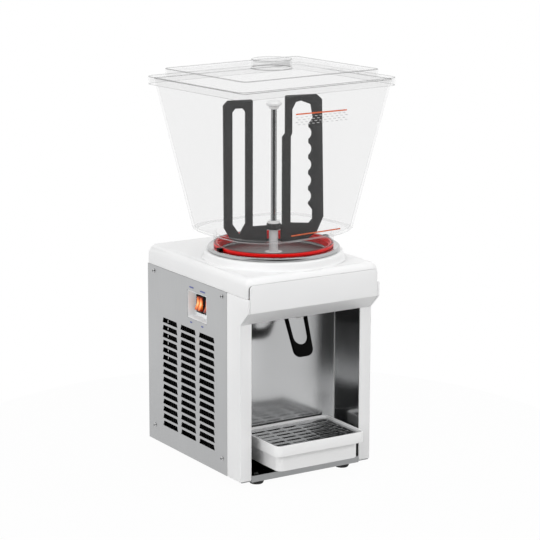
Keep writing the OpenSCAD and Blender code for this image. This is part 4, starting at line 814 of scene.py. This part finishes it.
# %% Helpers for shape trees
def shape_tree(name, sizes):
    """A new tree with its inputs' sockets and its last node."""
    tree = bpy.data.node_groups.new(name, "GeometryNodeTree")
    tree.is_modifier = True
    new_socket = tree.interface.new_socket
    new_socket("Geometry", in_out="INPUT", socket_type="NodeSocketGeometry")
    sockets = {label: new_socket(label, in_out="INPUT", socket_type="NodeSocketFloat") for label in sizes}
    new_socket("Geometry", in_out="OUTPUT", socket_type="NodeSocketGeometry")
    entry, leave = tree.nodes.new("NodeGroupInput"), tree.nodes.new("NodeGroupOutput")
    return tree, entry.outputs, leave, sockets


def sized(tree, x, y, z):
    return step(tree, "ShaderNodeCombineXYZ", {"X": x, "Y": y, "Z": z}).outputs[0]


def moved(tree, shape, x, y, z):
    links = {"Geometry": shape, "Translation": sized(tree, x, y, z)}
    return step(tree, "GeometryNodeTransform", links).outputs[0]


def block(tree, x, y, z):
    return step(tree, "GeometryNodeMeshCube", {"Size": sized(tree, x, y, z)}).outputs["Mesh"]


def bar(tree, vertices, radius, depth):
    links = {"Vertices": vertices, "Radius": radius, "Depth": depth}
    return step(tree, "GeometryNodeMeshCylinder", links).outputs["Mesh"]


def copies(tree, points, shape, **turn):
    """One real copy of a shape on every point."""
    placed = step(tree, "GeometryNodeInstanceOnPoints", {"Points": points, "Instance": shape, **turn})
    return step(tree, "GeometryNodeRealizeInstances", {"Geometry": placed.outputs["Instances"]}).outputs[0]


def facing_turn(tree):
    """The turn that brings Z round to the way that each point faces."""
    facing = step(tree, "GeometryNodeInputNamedAttribute", {"Name": "facing"}, data_type="FLOAT_VECTOR")
    links = {"Vector": facing.outputs["Attribute"]}
    return step(tree, "FunctionNodeAlignRotationToVector", links, axis="Z").outputs["Rotation"]


def finish_tree(tree, leave, shape, finish):
    painted = step(tree, "GeometryNodeSetMaterial", {"Geometry": shape, "Material": finish})
    feed(leave, Geometry=painted.outputs[0])


def set_tree(piece, tree, sockets, sizes):
    modifier = piece.modifiers.new("shape", "NODES")
    modifier.node_group = tree
    for label, value in sizes.items():
        modifier[sockets[label].identifier] = value


def run_tree(name, points, ways, tree, sockets, sizes):
    """Runs a tree on loose points, which may face a way, and keeps the result as a plain mesh."""
    mesh = bpy.data.meshes.new(name)
    mesh.from_pydata(points, [], [])
    if ways:
        layer = mesh.attributes.new("facing", "FLOAT_VECTOR", "POINT")
        layer.data.foreach_set("vector", [c for way in ways for c in way])
    piece = new_object(name, mesh)
    set_tree(piece, tree, sockets, sizes)
    plain_mesh(piece, name)
    return piece


print("shape helpers ready")

# %% [markdown]
# Eight screws hold the side panels. Eight points carry the way they face, and the tree sets a
# domed head with a cross recess and a short shank on each. The head is a sphere flattened and
# cut in half by a Boolean, and two crossed bars cut the recess.

# %% The panel screws
SCREW_X, SCREW_Y, SCREW_Z = (-0.1302, 0.1302), (-0.074, 0.1565), (0.0392, 0.3182)
screw_sizes = {"Head radius": 0.0040, "Head height": 0.0024, "Slot length": 0.0048,
               "Slot width": 0.0014, "Slot depth": 0.0016, "Shank radius": 0.0015,
               "Shank length": 0.0035}
tree, size_of, leave, sockets = shape_tree("panel_screw", screw_sizes)
radius, height = size_of["Head radius"], size_of["Head height"]
ball = step(tree, "GeometryNodeMeshUVSphere", {"Segments": 32, "Rings": 16, "Radius": radius})
flat = sized(tree, 1.0, 1.0, reckon(tree, "DIVIDE", height, radius))
dome = step(tree, "GeometryNodeTransform", {"Geometry": ball.outputs["Mesh"], "Scale": flat})
wide = reckon(tree, "MULTIPLY", radius, 3.0)
above = moved(tree, block(tree, wide, wide, wide), 0.0, 0.0, reckon(tree, "MULTIPLY", wide, 0.5))
head = step(tree, "GeometryNodeMeshBoolean", operation="INTERSECT")
for part in (dome.outputs[0], above):
    feed(head, Mesh_2=part)
deep = reckon(tree, "MULTIPLY", size_of["Slot depth"], 2.0)
cut = step(tree, "GeometryNodeMeshBoolean", {"Mesh 1": head.outputs["Mesh"]}, operation="DIFFERENCE")
for x, y in (("Slot length", "Slot width"), ("Slot width", "Slot length")):
    recess = moved(tree, block(tree, size_of[x], size_of[y], deep), 0.0, 0.0, height)
    feed(cut, Mesh_2=recess)
shank = bar(tree, 16, size_of["Shank radius"], size_of["Shank length"])
sunk = moved(tree, shank, 0.0, 0.0, reckon(tree, "MULTIPLY", size_of["Shank length"], -0.5))
whole = step(tree, "GeometryNodeJoinGeometry")
for part in (cut.outputs["Mesh"], sunk):
    feed(whole, Geometry=part)
heads = copies(tree, size_of["Geometry"], whole.outputs[0], Rotation=facing_turn(tree))
finish_tree(tree, leave, heads, screw_steel)

spots = [(x, y, z) for x in SCREW_X for y in SCREW_Y for z in SCREW_Z]
ways = [(math.copysign(1, x), 0, 0) for x, y, z in spots]
screws = run_tree("panel_screw_heads", spots, ways, tree, sockets, screw_sizes)
smooth_faces(screws.data, 35)
carry(screws, "cabinet", "stainless_bright", "panel_screws")
print("screws", len(spots), "faces", len(screws.data.polygons))

# %% [markdown]
# Behind the pinch slide a small coil spring pushes it shut. A coil follows a path, so a tree draws
# a Spiral and runs a round wire along it. The CAD coil is stiff, and a real one shortens as the
# slide comes back; this one keeps the CAD coil's length.

# %% The valve spring
SPRING_WIRE, SPRING_TURNS = 0.0011, 5.0
spring_low, spring_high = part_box("valve_spring")
spring_middle = (spring_low + spring_high) / 2
length = spring_high.y - spring_low.y
coil_sizes = {"Coil radius": (spring_high.x - spring_low.x - SPRING_WIRE) / 2,
              "Wire radius": SPRING_WIRE / 2, "Length": length - SPRING_WIRE, "Turns": SPRING_TURNS}
tree, size_of, leave, sockets = shape_tree("valve_coil", coil_sizes)
path = step(tree, "GeometryNodeCurveSpiral", {
    "Resolution": 32, "Rotations": size_of["Turns"], "Height": size_of["Length"],
    "Start Radius": size_of["Coil radius"], "End Radius": size_of["Coil radius"]})
wire = step(tree, "GeometryNodeCurvePrimitiveCircle", {"Resolution": 10, "Radius": size_of["Wire radius"]})
tube = step(tree, "GeometryNodeCurveToMesh", {
    "Curve": path.outputs[0], "Profile Curve": wire.outputs["Curve"], "Fill Caps": True})
lying = {"Geometry": tube.outputs["Mesh"], "Rotation": (-math.pi / 2, 0, 0)}
laid = step(tree, "GeometryNodeTransform", lying).outputs[0]
finish_tree(tree, leave, copies(tree, size_of["Geometry"], laid), bright_steel)

spring_start = (spring_middle.x, spring_low.y + SPRING_WIRE / 2, spring_middle.z)
spring = run_tree("valve_coil", [spring_start], None, tree, sockets, coil_sizes)
smooth_faces(spring.data, 60)
carry_for(spring, "valve_spring")
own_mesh(spring)

# %% [markdown]
# The tray's grille is a pressed steel sheet with rows of long slots. The CAD sheet has the slots at
# their least width, so a tree opens them to the full width that the punch leaves with its rounded
# edge. Two round bars and a Convex Hull make one cutter, a grid sets it out, and a Boolean cuts.

# %% The grille's slots
GRILLE_COLUMNS, GRILLE_ROWS, SLOT_STEP_X, SLOT_STEP_Y = 5, 6, 0.0315, 0.016
PUNCHED_EDGE = 0.0003
grille_low, grille_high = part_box("tray_grille")
slot_sizes = {"Slot length": 0.0265, "Slot width": 0.0066, "Cut depth": 0.008,
              "Span across": (GRILLE_COLUMNS - 1) * SLOT_STEP_X,
              "Span along": (GRILLE_ROWS - 1) * SLOT_STEP_Y,
              "Middle": (grille_low.y + grille_high.y) / 2, "Top": grille_high.z}
tree, size_of, leave, sockets = shape_tree("grille_slots", slot_sizes)
radius = reckon(tree, "MULTIPLY", size_of["Slot width"], 0.5)
half_slot = reckon(tree, "SUBTRACT", reckon(tree, "MULTIPLY", size_of["Slot length"], 0.5), radius)
post = bar(tree, 24, radius, size_of["Cut depth"])
ends = step(tree, "GeometryNodeJoinGeometry")
for way in (half_slot, reckon(tree, "MULTIPLY", half_slot, -1.0)):
    feed(ends, Geometry=moved(tree, post, way, 0.0, 0.0))
cutter = step(tree, "GeometryNodeConvexHull", {"Geometry": ends.outputs[0]}).outputs[0]
grid = step(tree, "GeometryNodeMeshGrid", {
    "Size X": size_of["Span across"], "Size Y": size_of["Span along"],
    "Vertices X": GRILLE_COLUMNS, "Vertices Y": GRILLE_ROWS})
level = moved(tree, grid.outputs["Mesh"], 0.0, size_of["Middle"], size_of["Top"])
cut = step(tree, "GeometryNodeMeshBoolean", {"Mesh 1": size_of["Geometry"]}, operation="DIFFERENCE")
feed(cut, Mesh_2=copies(tree, level, cutter))
finish_tree(tree, leave, cut.outputs["Mesh"], grille_steel)

grille = merged_copy("tray_grille", "slotted_grille")
set_tree(grille, tree, sockets, slot_sizes)
round_edges(grille, PUNCHED_EDGE, 2)
plain_mesh(grille, "slotted_grille")
smooth_faces(grille.data)
carry_for(grille, "tray_grille")
print("grille slots", GRILLE_COLUMNS * GRILLE_ROWS, "faces", len(grille.data.polygons))

# %% [markdown]
# Printed marks are in three inks: orange level lines, pale grey dashes, and blue marks by the
# switches. Screen ink is a little patchy, so a fine noise varies each tone.

# %% Inks
def ink(name, colour):
    pale = tuple(min(1, c * 1.12 + 0.01) for c in colour)
    return mottled(name, (0.0009,), colour, pale, stops=(0.35, 0.7), Roughness=0.5, IOR=1.45)


orange_ink = ink("orange_ink", (0.84, 0.22, 0.09))
grey_ink = ink("grey_ink", (0.50, 0.50, 0.50))
blue_ink = ink("blue_ink", (0.10, 0.12, 0.34))
print("made three inks")

# %% [markdown]
# The bowl's front carries two printed level lines. Each is a thin strip that follows the bowl's
# face, a fifth of a millimetre in front of it. A decal image could show them, but the place on the
# face comes from the same sizes as the bowl's rings here, so a mark can't float.

# %% Level lines on the bowl
INK_GAP, INK_THICK, LINE_WIDTH, LINE_COLUMNS = 0.0002, 0.00012, 0.0022, 24


def on_front(x, z):
    """A point just before the bowl's flat front face, x along the face."""
    t = (z - TURN_Z) / (RIM_Z - TURN_Z)
    depth = TURN_SIZE[1] + t * (RIM_SIZE[1] - TURN_SIZE[1])
    return turned(x, -depth / 2 - INK_GAP, z)


def level_line(name, start, end):
    """A printed line along the front face, from start to end as (x, z)."""
    shape = bmesh.new()
    shares = [k / LINE_COLUMNS for k in range(LINE_COLUMNS + 1)]
    path = [[a + t * (b - a) for a, b in zip(start, end)] for t in shares]
    low, high = ([shape.verts.new(on_front(x, z + side * LINE_WIDTH)) for x, z in path]
                 for side in (-0.5, 0.5))
    faces = [shape.faces.new((low[k], low[k + 1], high[k + 1], high[k])) for k in range(LINE_COLUMNS)]
    bmesh.ops.solidify(shape, geom=faces, thickness=-INK_THICK)
    bmesh.ops.recalc_face_normals(shape, faces=shape.faces)
    carry(piece_of(shape, name, orange_ink), "bowl", "clear_plastic")


level_line("upper_level_line", (-0.0494, 0.6236), (0.0570, 0.6219))
level_line("lower_level_line", (-0.0456, 0.4206), (0.0582, 0.4206))
print("two level lines")

# %% [markdown]
# Under the upper line the print goes on in rows of short pale dashes. They repeat, so a tree puts
# one small bar on each point of a grid, turned to face the way the bowl's front does.

# %% Rows of dashes
DASH_ROWS, DASH_COLUMNS, DASH_X, DASH_Z = 4, 11, -0.0465, 0.6180
DASH_STEP_X, DASH_STEP_Z = 0.0098, 0.0040
dash_sizes = {"Length": 0.0052, "Height": 0.0010, "Thickness": 0.0001}
tree, size_of, leave, sockets = shape_tree("level_dash", dash_sizes)
dash = block(tree, size_of["Length"], size_of["Height"], size_of["Thickness"])
printed = copies(tree, size_of["Geometry"], dash, Rotation=facing_turn(tree))
finish_tree(tree, leave, printed, grey_ink)

spots = [on_front(DASH_X + DASH_STEP_X * (k + row % 2 / 2), DASH_Z - DASH_STEP_Z * row)
         for row in range(DASH_ROWS) for k in range(DASH_COLUMNS)]
slope = (on_front(0, RIM_Z) - on_front(0, TURN_Z)).normalized()
front_way = (on_front(1, RIM_Z) - on_front(0, RIM_Z)).cross(slope).normalized()
dashes = run_tree("level_dashes", spots, [front_way] * len(spots), tree, sockets, dash_sizes)
carry(dashes, "bowl", "clear_plastic")
print("dashes", len(spots))

# %% [markdown]
# Beside the switch recess the steel carries four short printed bars, one above and one below each
# rocker. They are plain blue marks with round ends, a fifth of a millimetre thick.

# %% Marks beside the switches
PANEL_X, MARK_THICK, MARK_HEIGHT = -0.1302, 0.0002, 0.0024


def panel_mark(name, y, z, length):
    shape = bmesh.new()
    stretch = Matrix.Diagonal((MARK_THICK, length, MARK_HEIGHT, 1))
    bmesh.ops.create_cube(shape, size=1.0, matrix=Matrix.Translation((PANEL_X, y, z)) @ stretch)
    ends = [e for e in shape.edges if abs(e.verts[0].co.x - e.verts[1].co.x) > MARK_THICK / 2]
    bmesh.ops.bevel(shape, geom=ends, offset=MARK_HEIGHT * 0.4, segments=4, profile=0.5, affect="EDGES")
    carry(piece_of(shape, name, blue_ink), "cabinet", "stainless_satin")


for name, y, z, length in (("mixing_mark_top", 0.0259, 0.3139, 0.0137),
                           ("cooling_mark_top", -0.0114, 0.3130, 0.0160),
                           ("mixing_mark_low", 0.0277, 0.2530, 0.0068),
                           ("cooling_mark_low", -0.0098, 0.2527, 0.0068)):
    panel_mark(name, y, z, length)
print("four switch marks")

# %% [markdown]
# The studio's floor is a white disc that keeps the dispenser's shadow. The camera sees it as almost
# plain white and polished steel sees it nearly so, and only the soft light on the object comes
# from its true grey. Lamps strong enough to whiten it would burn out the white mouldings.

# %% Floor
FLOOR_R, FLOOR_TONE = 0.6, 0.56


def ray_share(tree, shares):
    """How far a ray counts: the largest share among the kinds of ray that it is."""
    rays = step(tree, "ShaderNodeLightPath")
    most = 0.0
    for kind, share in shares.items():
        part = reckon(tree, "MULTIPLY", rays.outputs[kind], share)
        most = reckon(tree, "MAXIMUM", part, most)
    return most


white_floor, tree, shader = new_finish("white_floor", Roughness=0.8, Base_Color=(*grey(FLOOR_TONE), 1))
glow = step(tree, "ShaderNodeEmission", {"Color": (*grey(1), 1), "Strength": 1.0})
seen = ray_share(tree, {"Is Camera Ray": 0.97, "Is Glossy Ray": 0.78})
show(tree, seen, shader.outputs["BSDF"], glow.outputs["Emission"])
shape = bmesh.new()
bmesh.ops.create_circle(shape, cap_ends=True, segments=96, radius=FLOOR_R)
floor = piece_of(shape, "floor", white_floor)
print("floor", floor.dimensions[:])

# %% [markdown]
# Around it is a white room. Rays from the camera and rays through clear plastic see plain white.
# The metal sees the same room with one dark wall on the camera's side, as a studio has, and that
# gives the steel its dark half. The room's own light is a little weaker than its look.

# %% World
DARK_WALL, DARK_LEVEL, ROOM_LIGHT = (-0.45, -0.88, -0.05), 0.07, 0.80
world = bpy.data.worlds.new("studio")
bpy.context.scene.world = world
world.use_nodes = True
tree = world.node_tree
tree.nodes.clear()
step(tree, "ShaderNodeOutputWorld")
way = step(tree, "ShaderNodeTexCoord").outputs["Generated"]
toward = step(tree, "ShaderNodeVectorMath", {0: way, 1: Vector(DARK_WALL).normalized()},
              operation="DOT_PRODUCT").outputs["Value"]
room = tint(tree, toward, (0.46, grey(1.0)), (0.80, grey(DARK_LEVEL)))
glossy = step(tree, "ShaderNodeLightPath").outputs["Is Glossy Ray"]
look = step(tree, "ShaderNodeMix", {"Factor": glossy, "A": (1, 1, 1, 1), "B": room}, data_type="RGBA")
light = step(tree, "ShaderNodeBackground", {"Color": room, "Strength": ROOM_LIGHT})
plain = step(tree, "ShaderNodeBackground", {"Color": look.outputs["Result"], "Strength": 1.0})
seen = ray_share(tree, {"Is Camera Ray": 1.0, "Is Glossy Ray": 1.0, "Is Transmission Ray": 1.0})
show(tree, seen, light.outputs[0], plain.outputs[0])
print("world ready")

# %% [markdown]
# Three soft lamps model the shapes: one above, one in front and one at the left. They are wide
# squares at a plain level, and hidden from the camera and from reflections, where the room is.

# %% Lamps
def soft_lamp(name, place, aim, width, watts):
    lamp = bpy.data.lights.new(name, "AREA")
    lamp.shape = "SQUARE"
    lamp.size = width
    lamp.energy = watts
    holder = new_object(name, lamp)
    holder.location = place
    holder.rotation_euler = (Vector(aim) - Vector(place)).to_track_quat("-Z", "Y").to_euler()
    holder.visible_camera = False
    holder.visible_glossy = False


soft_lamp("top_light", (-0.3, -0.4, 2.2), (0, 0, 0.3), 1.6, 7)
soft_lamp("front_light", (0.2, -1.7, 1.2), (0, 0, 0.35), 1.2, 14.5)
soft_lamp("left_light", (-2.0, -0.9, 0.8), (0, 0, 0.3), 1.4, 20)
print("lamps ready")

# %% [markdown]
# Colours are shown through the Standard view transform.

# %% View transform
bpy.context.scene.view_settings.view_transform = "Standard"
